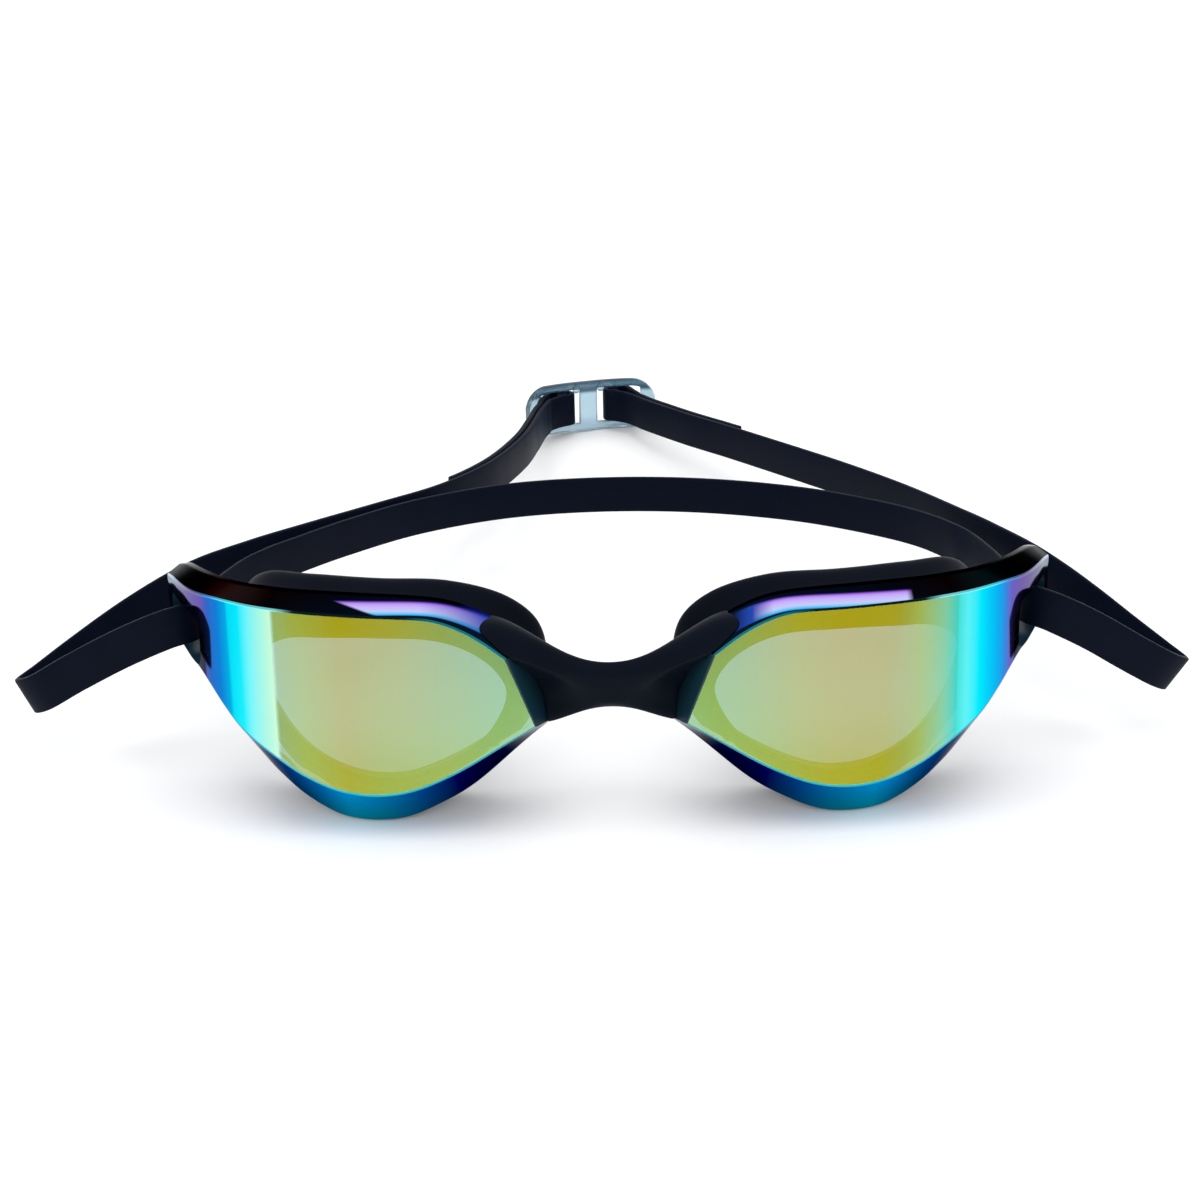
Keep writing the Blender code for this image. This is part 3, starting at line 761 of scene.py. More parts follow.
class LensZone(Enum):
    """Parts of the lens moulding, in the order of its material slots."""

    FACE = 0
    BROW = 1
    CHIN = 2
    NOSE = 3
    CREASE = 4
    BODY = 5


class Run(Enum):
    """Stretches of a ring round the lens."""

    TOP = "along the top edge"
    TEMPLE = "down the temple end"
    FOOT = "back along the foot"
    NOSE = "up beside the nose"


@dataclass(frozen=True)
class LensShape:
    """Outlines of the lens moulding, as (along, height) points, and its wall."""

    face_top: Outline = ((16.7, 0.1), (21.4, 3.8), (25.7, 6.1), (30, 7.3), (40, 7.9), (50, 8.4),
                         (58, 8.8), (66, 8.8), (76, 7.5), (87, 6.3), (93, 5.3))
    face_foot: Outline = ((12.2, -11.8), (18, -15.0), (26, -19.6), (32.3, -22.2), (38.6, -23.1),
                          (44.8, -22.3), (50.6, -19.9), (55.9, -16.6), (61.5, -13.0),
                          (66, -9.4), (70.5, -6.4), (75, -5.0), (93, -4.5))
    rim_top: Outline = ((13.2, 1.5), (16.5, 4.2), (23, 7.4), (29, 9.0), (40, 9.8), (56, 10.3),
                        (66, 10.4), (74, 9.9), (83, 8.8), (90, 7.6), (94.5, 6.4))
    rim_foot: Outline = ((8.8, -12.5), (12.4, -15.3), (20, -21.6), (26.5, -26.0), (32.9, -29.1),
                         (39.4, -30.1), (45.8, -29.4), (50.2, -27.4), (55, -24.2),
                         (61.5, -18.8), (66.5, -13.6), (72, -9.7), (80, -7.3), (94.5, -6.2))
    top_depth: Outline = ((8, 5.0), (56, 5.0), (70, 3.6), (94.5, 2.6))
    foot_depth: Outline = ((8, 5.4), (30, 6.2), (50, 6.2), (66, 4.2), (94.5, 2.6))
    face_lean: float = 4.5
    rim_lean: float = 4.4
    wall: float = 1.5
    rim_land: float = 1.2
    slot_along: tuple[float, float] = (72.5, 89.5)
    slot_height: tuple[float, float] = (-5.0, 3.5)
    slot_corner: float = 2.1
    slot_steps: int = 8
    slot_reach: tuple[float, float] = (-4.0, 8.0)
    crease: float = 0.28
    face_edge: float = 2.0
    rim_round: float = 0.35
    back_inset: float = 0.5
    bulk: float = 7.0
    stations: int = 110

    def rim_depth(self, along: float, is_top: bool) -> float:
        """How far the rim's front edge lies behind the lens's face."""
        return smooth_height(self.top_depth if is_top else self.foot_depth, along)

    def outline(self, rim: bool, inset: float, depth_of: Callable[[float, bool], float],
                stations: int) -> list[tuple[float, Vector]]:
        """Closed line round the lens: along its top edge to the temple, and back along its foot.

        Args:
            rim: True follows the rim, and False the edge of the front face.
            inset: how far the line lies inside that outline.
            depth_of: depth for (along, is_top).
            stations: points on each half.

        Returns:
            Pairs of the distance along the lens and the point.
        """
        top, foot, lean = ((self.rim_top, self.rim_foot, self.rim_lean) if rim
                           else (self.face_top, self.face_foot, self.face_lean))
        first, last = foot[0][0] + inset, foot[-1][0] - inset
        tops, feet = [], []
        for i in range(stations):
            t = i / (stations - 1)
            foot_along = first + (last - first) * t
            top_along = foot_along + lean * (1 - t) ** 3
            for line, along, up, row in ((top, top_along, True, tops),
                                         (foot, foot_along, False, feet)):
                height = smooth_height(line, along) + (-inset if up else inset)
                row.append((along, PATTERN.point(along, height, depth_of(along, up))))
        return tops + feet[::-1]

    def solid(self, grow: float, stations: int = 70) -> bmesh.types.BMesh:
        """The filled space that the moulding takes up, grown by grow on every side."""
        lines = (
            self.outline(False, -grow, lambda s, up: -grow, stations),
            self.outline(True, -grow, lambda s, up: self.rim_depth(s, up) - grow, stations),
            self.outline(True, -grow, lambda s, up: self.rim_depth(s, up) + self.bulk, stations),
        )
        bm = bmesh.new()
        rings = [[bm.verts.new(p) for _, p in line] for line in lines]
        join_rings(bm, rings)
        for ring in (rings[0], rings[-1]):
            fill_strips(bm, ring)
        return bm

    def slot(self, zone: LensZone) -> bmesh.types.BMesh:
        """Rounded upright slot through the temple end, whose faces take a zone's finish."""
        bm = bmesh.new()
        low, high = self.slot_height
        near, far = self.slot_along
        radius = self.slot_corner
        outline = []
        for along, height, start in ((near, low, 180), (far, low, 270), (far, high, 0),
                                     (near, high, 90)):
            centre = (along + (radius if along == near else -radius),
                      height + (radius if height == low else -radius))
            for turn in range(self.slot_steps + 1):
                angle = math.radians(start + 90 * turn / self.slot_steps)
                outline.append((centre[0] + radius * math.cos(angle),
                                centre[1] + radius * math.sin(angle)))
        rings = [[bm.verts.new(PATTERN.point(s, z, depth)) for s, z in outline]
                 for depth in self.slot_reach]
        join_rings(bm, rings)
        for ring in rings:
            bm.faces.new(ring)
        for face in bm.faces:
            face.material_index = zone.value
        return bm


def fill_strips(bm: bmesh.types.BMesh, ring: Sequence[bmesh.types.BMVert]
                ) -> list[bmesh.types.BMFace]:
    """Closes a ring whose first half runs along its top and whose second half runs back below."""
    faces = []
    for i in range(len(ring) // 2 - 1):
        j = len(ring) - 1 - i
        faces.append(bm.faces.new((ring[i], ring[i + 1], ring[j - 1], ring[j])))
    return faces


Station = tuple[float, Vector]


def rounded(before: Sequence[Station], corner: Sequence[Station], after: Sequence[Station],
            width: float) -> list[list[Station]]:
    """Three rings that round off a corner ring.

    Args:
        before: the ring on one side of the corner.
        corner: the corner's own ring.
        after: the ring on its other side.
        width: how far the rounding reaches each way.

    Returns:
        The rings, in order.
    """
    rings: list[list[Station]] = [[], [], []]
    for (_, a), (along, c), (_, b) in zip(before, corner, after):
        start = c + (a - c) * min(0.45, width / max((a - c).length, 1e-6))
        stop = c + (b - c) * min(0.45, width / max((b - c).length, 1e-6))
        middle = start * 0.25 + c * 0.5 + stop * 0.25
        for ring, point in zip(rings, (start, middle, stop)):
            ring.append((along, point))
    return rings


@dataclass
class Lens:
    """One mirrored lens, moulded with its bevels, temple arm and strap slot."""

    side: Side
    shape: LensShape
    materials: list[bpy.types.Material]

    def _run(self, index: int) -> Run:
        """Stretch of the ring that a face between stations index and index + 1 lies on."""
        count = self.shape.stations
        if index < count - 1:
            return Run.TOP
        if index == count - 1:
            return Run.TEMPLE
        return Run.FOOT if index < 2 * count - 1 else Run.NOSE

    def _dress(self, face: bmesh.types.BMFace, zone: LensZone, across: Callable[[int], float],
               alongs: dict[int, float], uv: bmesh.types.BMLayerItem) -> None:
        """Gives a face its material slot and its pattern coordinates.

        Args:
            face: the face.
            zone: the part of the lens that it belongs to.
            across: second pattern coordinate for a vertex's number.
            alongs: distance along the lens for each vertex's number.
            uv: the pattern's layer.
        """
        face.material_index = zone.value
        face.smooth = True
        for loop in face.loops:
            number = loop.vert.index
            loop[uv].uv = (alongs[number] / 10.0, across(number))

    def _mesh(self) -> bmesh.types.BMesh:
        """The moulding before its slot is cut."""
        shape, count = self.shape, self.shape.stations

        def behind(extra: float) -> Callable[[float, bool], float]:
            """Depth of a ring that much behind the rim's front edge."""
            return lambda s, up: shape.rim_depth(s, up) + extra

        inner = shape.outline(False, shape.face_edge, lambda s, up: 0.0, count)
        face = shape.outline(False, 0.0, lambda s, up: 0.0, count)
        rim = shape.outline(True, 0.0, behind(0.0), count)
        land = shape.outline(True, 0.0, behind(shape.rim_land), count)
        hollow = shape.outline(True, shape.wall, behind(shape.rim_land), count)
        back = shape.outline(False, shape.back_inset, lambda s, up: shape.wall, count)
        crease_rings = rounded(inner, face, rim, shape.crease)
        front_rings = crease_rings + rounded(face, rim, land, shape.rim_round)
        lines = [*front_rings, land, hollow, back]
        crease_end = len(crease_rings) - 1
        bm = bmesh.new()
        uv = bm.loops.layers.uv.new("pattern")
        rings = [[bm.verts.new(p) for _, p in line] for line in lines]
        bm.verts.index_update()
        alongs = {v.index: along for line, ring in zip(lines, rings)
                  for (along, _), v in zip(line, ring)}
        ring_of = {v.index: k for k, ring in enumerate(rings) for v in ring}
        place_of = {v.index: i for ring in rings for i, v in enumerate(ring)}

        def upright(number: int) -> float:
            """1 on the lens's top half and 0 on its foot."""
            return 1.0 if place_of[number] < count else 0.0

        def outwards(number: int) -> float:
            """0 at the face's crease and 1 at the rim."""
            return 0.0 if ring_of[number] <= crease_end else 1.0

        for strip in fill_strips(bm, rings[0]):
            self._dress(strip, LensZone.FACE, upright, alongs, uv)
        for strip in fill_strips(bm, rings[-1]):
            self._dress(strip, LensZone.BODY, upright, alongs, uv)
        for k, band in enumerate(join_rings(bm, rings)):
            for i, quad in enumerate(band):
                run = self._run(i)
                bevel = {Run.TOP: LensZone.BROW, Run.TEMPLE: LensZone.BROW,
                         Run.FOOT: LensZone.CHIN, Run.NOSE: LensZone.NOSE}[run]
                if k >= len(front_rings):
                    self._dress(quad, LensZone.BODY, upright, alongs, uv)
                elif k < crease_end and run is not Run.NOSE:
                    self._dress(quad, LensZone.CREASE, upright, alongs, uv)
                else:
                    self._dress(quad, bevel, outwards, alongs, uv)
        return bm

    def build(self) -> bpy.types.Object:
        """Builds the lens and puts it on its eye cup."""
        lens = finish_mesh(f"lens_{self.side.word}_shell", self._mesh(), self.side,
                           self.materials)
        # The slot's walls take the nose facet's dark finish: painted shade inside the slot.
        slot = finish_mesh("slot_cutter", self.shape.slot(LensZone.NOSE), self.side,
                           self.materials)
        add_cut(lens, slot)
        settle(lens, 34.0)
        bpy.data.objects.remove(slot)
        even = lens.modifiers.new("even_shading", "WEIGHTED_NORMAL")
        even.keep_sharp = True
        bake_modifiers(lens)
        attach(lens, self.side.cup)
        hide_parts("lens_" + self.side.word)
        report(lens)
        return lens


# --- Eye seals ------------------------------------------------------------------------------


@dataclass(frozen=True)
class SealShape:
    """Matching outlines of the eye seal, as (along, height) points that run up from the nose."""

    opening: Outline = ((16.9, -6.5), (18.7, -2.4), (22.8, 0.9), (28.5, 2.9), (37, 3.5),
                        (46, 3.5), (53, 3.0), (56.8, 0.4), (57.4, -3.8), (55.4, -8.6),
                        (51.8, -13.2), (47.2, -17.4), (41.2, -20.2), (34.4, -20.6),
                        (26.8, -17.9), (20.4, -13.6))
    front: Outline = ((15.7, -6.2), (17.7, -1.3), (22.4, 2.5), (28.8, 5.2), (37.5, 6.3),
                      (47.5, 6.8), (56, 6.8), (60.6, 3.4), (61.2, -3.2), (59, -9.8),
                      (54.2, -15.4), (49.0, -18.9), (42.2, -21.5), (34.0, -21.4), (25.8, -18.3),
                      (18.9, -14.2))
    waist: Outline = ((13.2, -6.0), (15.3, -0.6), (20.4, 3.9), (28, 6.6), (38, 7.6),
                      (48.5, 7.9), (57, 7.6), (62, 4.0), (63, -3.5), (61, -10.6), (56.6, -17.6),
                      (51, -22.8), (43.3, -26.4), (34.5, -26.4), (24.6, -21.6), (16.2, -15.8))
    lip: Outline = ((10.4, -6.0), (11.6, 1.0), (16.8, 5.8), (26.4, 8.7), (38, 9.3), (49.5, 9.7),
                    (59, 9.0), (65.4, 4.8), (67.2, -3.5), (64.8, -12.0), (59.6, -19.6),
                    (53, -25.0), (43.9, -28.0), (33.4, -27.8), (22.9, -23.2), (14.0, -16.4))
    face_depth: float = 1.85
    temple_extra: float = 3.0
    around: int = 132
    across: int = 42

    def profile(self) -> list[tuple[Outline, float]]:
        """Rings of the seal, each an outline and its depth, from the opening round and back."""
        opening, front, waist, lip = (
            [(p.x, p.y) for p in closed_curve([Vector((*q, 0)) for q in line], self.around)]
            for line in (self.opening, self.front, self.waist, self.lip))

        def between(a: Outline, b: Outline, share: float) -> Outline:
            """Outline that share of the way from a to b."""
            return [(p[0] + (q[0] - p[0]) * share, p[1] + (q[1] - p[1]) * share)
                    for p, q in zip(a, b)]

        face = self.face_depth + 0.05
        return [(opening, face + 0.2), (between(opening, front, 0.2), face),
                (between(opening, front, 0.85), face), (front, face + 0.35), (waist, 7.6),
                (between(waist, lip, 0.45), 10.6), (lip, 13.6),
                (between(waist, lip, 1.06), 14.9), (between(waist, lip, 0.92), 15.8),
                (between(opening, lip, 0.72), 15.6), (between(opening, lip, 0.5), 13.6),
                (between(opening, waist, 0.4), 8.6), (between(opening, waist, 0.16), 4.4)]


@dataclass
class EyeSeal:
    """One silicone seal: a flange behind the lens that flares into a soft face lip."""

    side: Side
    shape: SealShape
    material: bpy.types.Material

    def build(self) -> bpy.types.Object:
        """Builds the seal and puts it on its eye cup."""
        shape = self.shape
        columns = []
        for outline, depth in shape.profile():
            ring = []
            for along, height in outline:
                far = max(0.0, min(1.0, (along - 40) / 25))
                extra = shape.temple_extra * far * far * (depth - shape.face_depth) / 14.0
                ring.append(PATTERN.point(along, height, depth + extra, 0.8))
            columns.append(ring)
        bm = bmesh.new()
        sections = [closed_curve(section, shape.across) for section in zip(*columns)]
        rings = [[bm.verts.new(p) for p in section] for section in sections]
        join_rings(bm, rings, closed=True)
        seal = finish_mesh(f"seal_{self.side.word}_cup", bm, self.side, [self.material])
        settle(seal, 60.0)
        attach(seal, self.side.cup)
        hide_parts("seal_" + self.side.word)
        report(seal)
        return seal


# --- Nose bridge ----------------------------------------------------------------------------


@dataclass
class NoseBridge:
    """Soft bridge with a groove at each end, which bends on both sides of the nose."""

    lens: LensShape
    material: bpy.types.Material
    end: tuple[tuple[float, float, float], ...] = (
        (20.6, 2.6, 6.3), (25.2, 1.0, 3.9), (21.4, 0.8, 1.8), (16.0, 2.1, -1.0),
        (12.4, 5.3, -4.8), (11.8, 6.7, -8.9), (12.0, 3.6, -13.2))
    top: float = -2.1
    foot: float = -9.6
    front: float = 2.5
    back: float = 6.2
    end_back: float = 9.5
    steps: int = 5
    flare: float = 1.25
    seat_gap: float = 0.1

    def _cage(self) -> bmesh.types.BMesh:
        """Coarse cage: rows run from the top edge down, and columns across the nose."""
        bm = bmesh.new()
        rows = len(self.end)
        sheets: tuple[list, list] = ([], [])
        for r, (end_x, end_y, end_z) in enumerate(self.end):
            share = r / (rows - 1)
            waist_z = self.top + (self.foot - self.top) * share
            edge = 1.5 if r in (0, rows - 1) else 0.0
            lines: tuple[list, list] = ([], [])
            for c in range(-self.steps, self.steps + 1):
                w = abs(c) / self.steps
                ease = (3 * w**2 - 2 * w**3) ** self.flare
                x = math.copysign(end_x * w, c)
                z = waist_z + (end_z - waist_z) * ease
                near = self.front + edge * (1 - ease) + (end_y - self.front) * ease
                far = self.back - edge * (1 - ease) + (self.end_back - self.back) * ease
                lines[0].append(bm.verts.new((x, near, z)))
                lines[1].append(bm.verts.new((x, far, z)))
            for sheet, line in zip(sheets, lines):
                sheet.append(line)
        front, back = sheets
        columns = len(front[0])
        for sheet in sheets:
            for r in range(rows - 1):
                for c in range(columns - 1):
                    bm.faces.new((sheet[r][c], sheet[r][c + 1], sheet[r + 1][c + 1],
                                  sheet[r + 1][c]))
        for c in range(columns - 1):
            for r in (0, rows - 1):
                bm.faces.new((front[r][c], front[r][c + 1], back[r][c + 1], back[r][c]))
        for r in range(rows - 1):
            for c in (0, columns - 1):
                bm.faces.new((front[r][c], front[r + 1][c], back[r + 1][c], back[r][c]))
        return bm

    def _whole(self) -> bpy.types.Mesh:
        """The bridge in one piece, softened and grooved to take both lens rims."""
        whole = finish_mesh("bridge_whole", self._cage(), Side.LEFT, [self.material])
        soften = whole.modifiers.new("soften", "SUBSURF")
        soften.levels = 3
        soften.render_levels = 3
        cutters = [finish_mesh("seat_cutter", self.lens.solid(self.seat_gap), side)
                   for side in Side]
        for cutter in cutters:
            add_cut(whole, cutter)
        bake_modifiers(whole)
        mesh = whole.data
        for obj in (whole, *cutters):
            bpy.data.objects.remove(obj)
        return mesh

    def _level_middle(self, half: bpy.types.Object) -> None:
        """Makes the shading run on from one half to the other."""
        mesh = half.data
        middle = REST_SHIFT.x * MM
        normals = [Vector(n.vector) for n in mesh.corner_normals]
        for face in mesh.polygons:
            corners = [mesh.vertices[v].co.x - middle for v in face.vertices]
            if max(abs(x) for x in corners) < 1e-6:
                continue
            for number, x in zip(face.loop_indices, corners):
                if abs(x) < 1e-6:
                    normals[number].x = 0.0
                    normals[number].normalize()
        mesh.normals_split_custom_set(normals)

    def build(self) -> list[bpy.types.Object]:
        """Builds the bridge as two halves, split down the middle of the nose."""
        mesh = self._whole()
        halves = []
        for side in Side:
            bm = bmesh.new()
            bm.from_mesh(mesh)
            cut = bmesh.ops.bisect_plane(
                bm, geom=bm.verts[:] + bm.edges[:] + bm.faces[:], plane_co=(0, 0, 0),
                plane_no=(-side.value, 0, 0), clear_outer=True)
            edges = [e for e in cut["geom_cut"] if isinstance(e, bmesh.types.BMEdge)]
            bmesh.ops.contextual_create(bm, geom=edges)
            half = finish_mesh(f"bridge_{side.word}_half", bm, Side.LEFT, [self.material])
            settle(half, 50.0)
            self._level_middle(half)
            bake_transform(half)
            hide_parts("nose_bridge")
            report(half)
            halves.append(half)
        return halves


# --- Strap ----------------------------------------------------------------------------------


@dataclass(frozen=True)
class ClipWay:
    """The strap's way through one half of the clip, as (outwards, back) from its centre."""

    lead: Outline
    back_out: Outline
    clears: float
    tail: float
    turn: Outline = ((5.0, -2.5), (4.2, -1.9), (3.85, -0.6), (4.3, 0.8), (5.6, 1.6), (7.4, 1.5),
                     (8.8, 0.6))


@dataclass(frozen=True)
class ClipPlace:
    """Where the clip sits, and how each end of the strap threads it."""

    centre: tuple[float, float] = (-3.6, 162.0)
    yaw: float = math.radians(17.0)
    right: ClipWay = ClipWay(lead=((11.3, -7.4), (10.2, -5.4), (8.4, -4.0), (6.7, -3.1)),
                             back_out=((9.7, -0.8), (10.9, -2.6), (12.1, -4.9)),
                             clears=6.6, tail=66.0)
    left: ClipWay = ClipWay(lead=((8.9, -12.0), (8.1, -8.4), (7.1, -5.3), (5.9, -3.4)),
                            back_out=((9.2, -1.0), (9.2, -3.0), (9.4, -5.4)),
                            clears=4.8, tail=40.0)

    def point(self, outwards: float, back: float, side: Side) -> tuple[float, ...]:
        """Route point in the clip's own plane."""
        u = outwards * side.value
        return (self.centre[0] + u * math.cos(self.yaw) - back * math.sin(self.yaw),
                self.centre[1] + u * math.sin(self.yaw) + back * math.cos(self.yaw), 0.0, 0.0)

    def route(self, way: Outline, side: Side) -> list[tuple[float, ...]]:
        """Route points along a way through the clip."""
        return [self.point(outwards, back, side) for outwards, back in way]


@dataclass(frozen=True)
class Section:
    """One station of the strap: its place on the route, centre and cross directions."""

    place: float
    centre: Vector
    across: Vector
    through: Vector


class StrapRoute:
    """Route of the one long strap, from the clip round both temples and back.

    Each point is (x, y, z, lean), where lean is how far the top edge tips outwards in degrees.
    """

    RIGHT_OUTER = [(-13.1, 147.8, 0, 0), (-14.5, 138, 0, 0), (-16.8, 125, 0, 0),
                   (-23.0, 106, 0, 0), (-32.0, 91, 0, 0), (-43.0, 79.6, 0, 0)]
    RIGHT_SIDE = [(-55.0, 67.6, 0, 0), (-64.5, 58.2, -0.2, 2), (-73.5, 49.0, -1.0, 7),
                  (-83, 41.0, -4.6, 15), (-91.5, 34.6, -9.2, 22), (-97.6, 30.9, -13.0, 26)]
    RIGHT_LOOP = [(-100.2, 28.0, -14.3, 27), (-97.6, 25.2, -13.0, 26), (-91, 23.8, -9.0, 22),
                  (-82, 22.8, -4.2, 16), (-74.5, 22.4, -1.0, 11), (-70.4, 24.6, -0.4, 8),
                  (-68.2, 32.0, -0.3, 12)]
    RIGHT_INNER = [(-65.6, 41.0, -0.2, 17), (-63.4, 47.0, -0.1, 18), (-60.6, 52.6, 0, 6)]
    BAND = [(-55.6, 59.6, 0, 0), (-48.0, 69.0, 0, 0), (-35.4, 81.4, 0, 0), (-19.0, 90.4, 0, 0),
            (-1.0, 93.4, 0, 0), (18.0, 91.4, 0, 0), (36.5, 84.2, 0, 0), (49.6, 74.8, 0, 0),
            (56.8, 67.6, 0, 0)]
    LEFT_INNER = [(61.4, 60.4, 0, 6), (64.0, 54.2, -0.1, 18), (66.4, 45.0, -0.2, 17)]
    LEFT_LOOP = [(68.6, 34.0, -0.3, 12), (70.6, 25.2, -0.4, 9), (74.5, 22.6, -1.2, 13),
                 (81.5, 22.8, -4.8, 20), (89, 23.8, -9.6, 28), (94.4, 25.2, -13.0, 34),
                 (97.0, 28.0, -14.6, 36)]
    LEFT_SIDE = [(94.6, 31.2, -13.2, 33), (89, 35.4, -9.4, 26), (82.5, 41.0, -5.0, 17),
                 (76.2, 48.8, -1.8, 9), (69.5, 60.0, -0.4, 2), (63.8, 70.2, 0, 0)]
    LEFT_OUTER = [(56.4, 84.4, 0, 0), (46.4, 100.4, 0, 0), (34.6, 117.0, 0, 0),
                  (24.8, 130.4, 0, 0), (17.8, 139.4, 0, 0), (12.2, 147.4, 0, 0)]

    def __init__(self, clip: ClipPlace, layer_pitch: float) -> None:
        """Lays the route through the clip and finds where each stretch starts."""
        self.layer_pitch = layer_pitch
        right, left = Side.RIGHT, Side.LEFT
        stretches = [
            ("right_turn", clip.route((clip.right.turn + clip.right.back_out)[::-1], right)),
            ("right_lead", clip.route(clip.right.lead[::-1], right)),
            ("right_outer", self.RIGHT_OUTER), ("right_side", self.RIGHT_SIDE),
            ("right_loop", self.RIGHT_LOOP), ("right_inner", self.RIGHT_INNER),
            ("band", self.BAND), ("left_inner", self.LEFT_INNER),
            ("left_loop", self.LEFT_LOOP), ("left_side", self.LEFT_SIDE),
            ("left_outer", self.LEFT_OUTER),
            ("left_lead", clip.route(clip.left.lead, left)),
            ("left_turn", clip.route(clip.left.turn + clip.left.back_out, left)),
        ]
        self.points: list[tuple[float, ...]] = []
        self.starts: dict[str, int] = {}
        for name, stretch in stretches:
            self.starts[name] = len(self.points)
            self.points += stretch
        self.starts["end"] = len(self.points) - 1
        self.sections = self._sections()

    def _sections(self) -> list[Section]:
        """Fine stations along the whole route."""
        path = smooth_path([Vector(p[:3]) for p in self.points], 0.9, 5)
        sections = []
        for i, (place, centre) in enumerate(path):
            run = (path[min(i + 1, len(path) - 1)][1] - path[max(i - 1, 0)][1]).normalized()
            k = min(int(place), len(self.points) - 2)
            share = place - k
            share = share * share * (3 - 2 * share)
            lean = self.points[k][3] + (self.points[k + 1][3] - self.points[k][3]) * share
            tip = math.radians(lean) * (1 if centre.x > 0 else -1)
            across = Vector((math.sin(tip), 0, math.cos(tip)))
            across = (across - run * across.dot(run)).normalized()
            sections.append(Section(place, centre, across, run.cross(across)))
        return sections

    def stretch(self, first: float, last: float) -> list[Section]:
        """Stations between two places."""
        return [s for s in self.sections if first - 1e-6 <= s.place <= last + 1e-6]

    def tail(self, sections: list[Section], turn: float, way: ClipWay, at_end: bool
             ) -> list[Section]:
        """Adds the tail, which leaves the clip's bar and doubles back behind the strap.

        Args:
            sections: the stretch of strap that the tail belongs to.
            turn: place of the route where the strap has left the clip's bar.
            way: how this end of the strap threads the clip.
            at_end: whether the tail is at the end of the stretch.

        Returns:
            The stretch with its tail.
        """
        ordered = sections if at_end else sections[::-1]
        run = [s for s in ordered if (s.place <= turn if at_end else s.place >= turn)]
        added, covered = [], 0.0
        for i in range(len(run) - 1, 0, -1):
            here = run[i]
            if covered > way.clears:
                added.append(Section(here.place, here.centre + here.through * self.layer_pitch,
                                     here.across, -here.through))
            covered += (run[i - 1].centre - here.centre).length
            if covered > way.tail:
                break
        joined = ordered + added
        return joined if at_end else joined[::-1]


class RibbonTree:
    """Geometry Nodes tree that sweeps a rounded flat section along a line.

    The line is a mesh of edges. Its float attribute "twist" turns the section about the line,
    away from upright.
    """

    def __init__(self) -> None:
        """Builds the tree."""
        self.tree = bpy.data.node_groups.new("ribbon", "GeometryNodeTree")
        face = self.tree.interface
        face.new_socket("Line", in_out="INPUT", socket_type="NodeSocketGeometry")
        self.inputs = {}
        for name in ("Width", "Thickness", "Corner"):
            socket = face.new_socket(name, in_out="INPUT", socket_type="NodeSocketFloat")
            self.inputs[name] = socket.identifier
        finish = face.new_socket("Finish", in_out="INPUT", socket_type="NodeSocketMaterial")
        self.inputs["Finish"] = finish.identifier
        face.new_socket("Ribbon", in_out="OUTPUT", socket_type="NodeSocketGeometry")
        source = self._add("NodeGroupInput")
        curve = self._add("GeometryNodeMeshToCurve")
        upright = self._add("GeometryNodeSetCurveNormal", mode="Z_UP")
        twist = self._add("GeometryNodeInputNamedAttribute", data_type="FLOAT")
        twist.inputs["Name"].default_value = "twist"
        turned = self._add("GeometryNodeSetCurveTilt")
        shape = self._add("GeometryNodeCurvePrimitiveQuadrilateral")
        rounded = self._add("GeometryNodeFilletCurve", mode="POLY")
        rounded.inputs["Count"].default_value = 4
        rounded.inputs["Limit Radius"].default_value = True
        sweep = self._add("GeometryNodeCurveToMesh")
        sweep.inputs["Fill Caps"].default_value = True
        smooth = self._add("GeometryNodeSetShadeSmooth")
        whole = self._add("GeometryNodeRealizeInstances")
        paint = self._add("GeometryNodeSetMaterial")
        result = self._add("NodeGroupOutput")
        for a, b in (
            (source.outputs["Line"], curve.inputs[0]), (curve.outputs[0], upright.inputs[0]),
            (upright.outputs[0], turned.inputs[0]),
            (twist.outputs["Attribute"], turned.inputs["Tilt"]),
            (source.outputs["Thickness"], shape.inputs["Width"]),
            (source.outputs["Width"], shape.inputs["Height"]),
            (shape.outputs[0], rounded.inputs[0]),
            (source.outputs["Corner"], rounded.inputs["Radius"]),
            (turned.outputs[0], sweep.inputs["Curve"]),
            (rounded.outputs[0], sweep.inputs["Profile Curve"]),
            (sweep.outputs[0], smooth.inputs[0]), (smooth.outputs[0], whole.inputs[0]),
            (whole.outputs[0], paint.inputs[0]), (source.outputs["Finish"], paint.inputs[2]),
            (paint.outputs[0], result.inputs[0]),
        ):
            self.tree.links.new(a, b)

    def _add(self, kind: str, **settings: object) -> bpy.types.Node:
        """Node of any kind, with its properties set."""
        node = self.tree.nodes.new(kind)
        for key, value in settings.items():
            setattr(node, key, value)
        return node

    def sweep(self, name: str, sections: Sequence[Section], **values: object
              ) -> bpy.types.Object:
        """Ribbon along a run of sections.

        Args:
            name: the object's name.
            sections: the stations of the line.
            values: the tree's inputs by name.

        Returns:
            The ribbon as a plain mesh, set down on the table.
        """
        line = bpy.data.meshes.new(name)
        edges = [(i, i + 1) for i in range(len(sections) - 1)]
        line.from_pydata([s.centre for s in sections], edges, [])
        twist = line.attributes.new("twist", "FLOAT", "POINT")
        for i, section in enumerate(sections):
            run = sections[min(i + 1, len(sections) - 1)].centre - sections[max(i - 1, 0)].centre
            run.normalize()
            upright = (Vector((0, 0, 1)) - run * run.z).normalized()
            angle = math.atan2(run.dot(upright.cross(section.across)),
                               upright.dot(section.across))
            twist.data[i].value = angle
        obj = bpy.data.objects.new(name, line)
        bpy.context.scene.collection.objects.link(obj)
        ribbon = obj.modifiers.new("ribbon", "NODES")
        ribbon.node_group = self.tree
        for key, value in values.items():
            ribbon[self.inputs[key]] = value
        return settle(obj, 50.0)


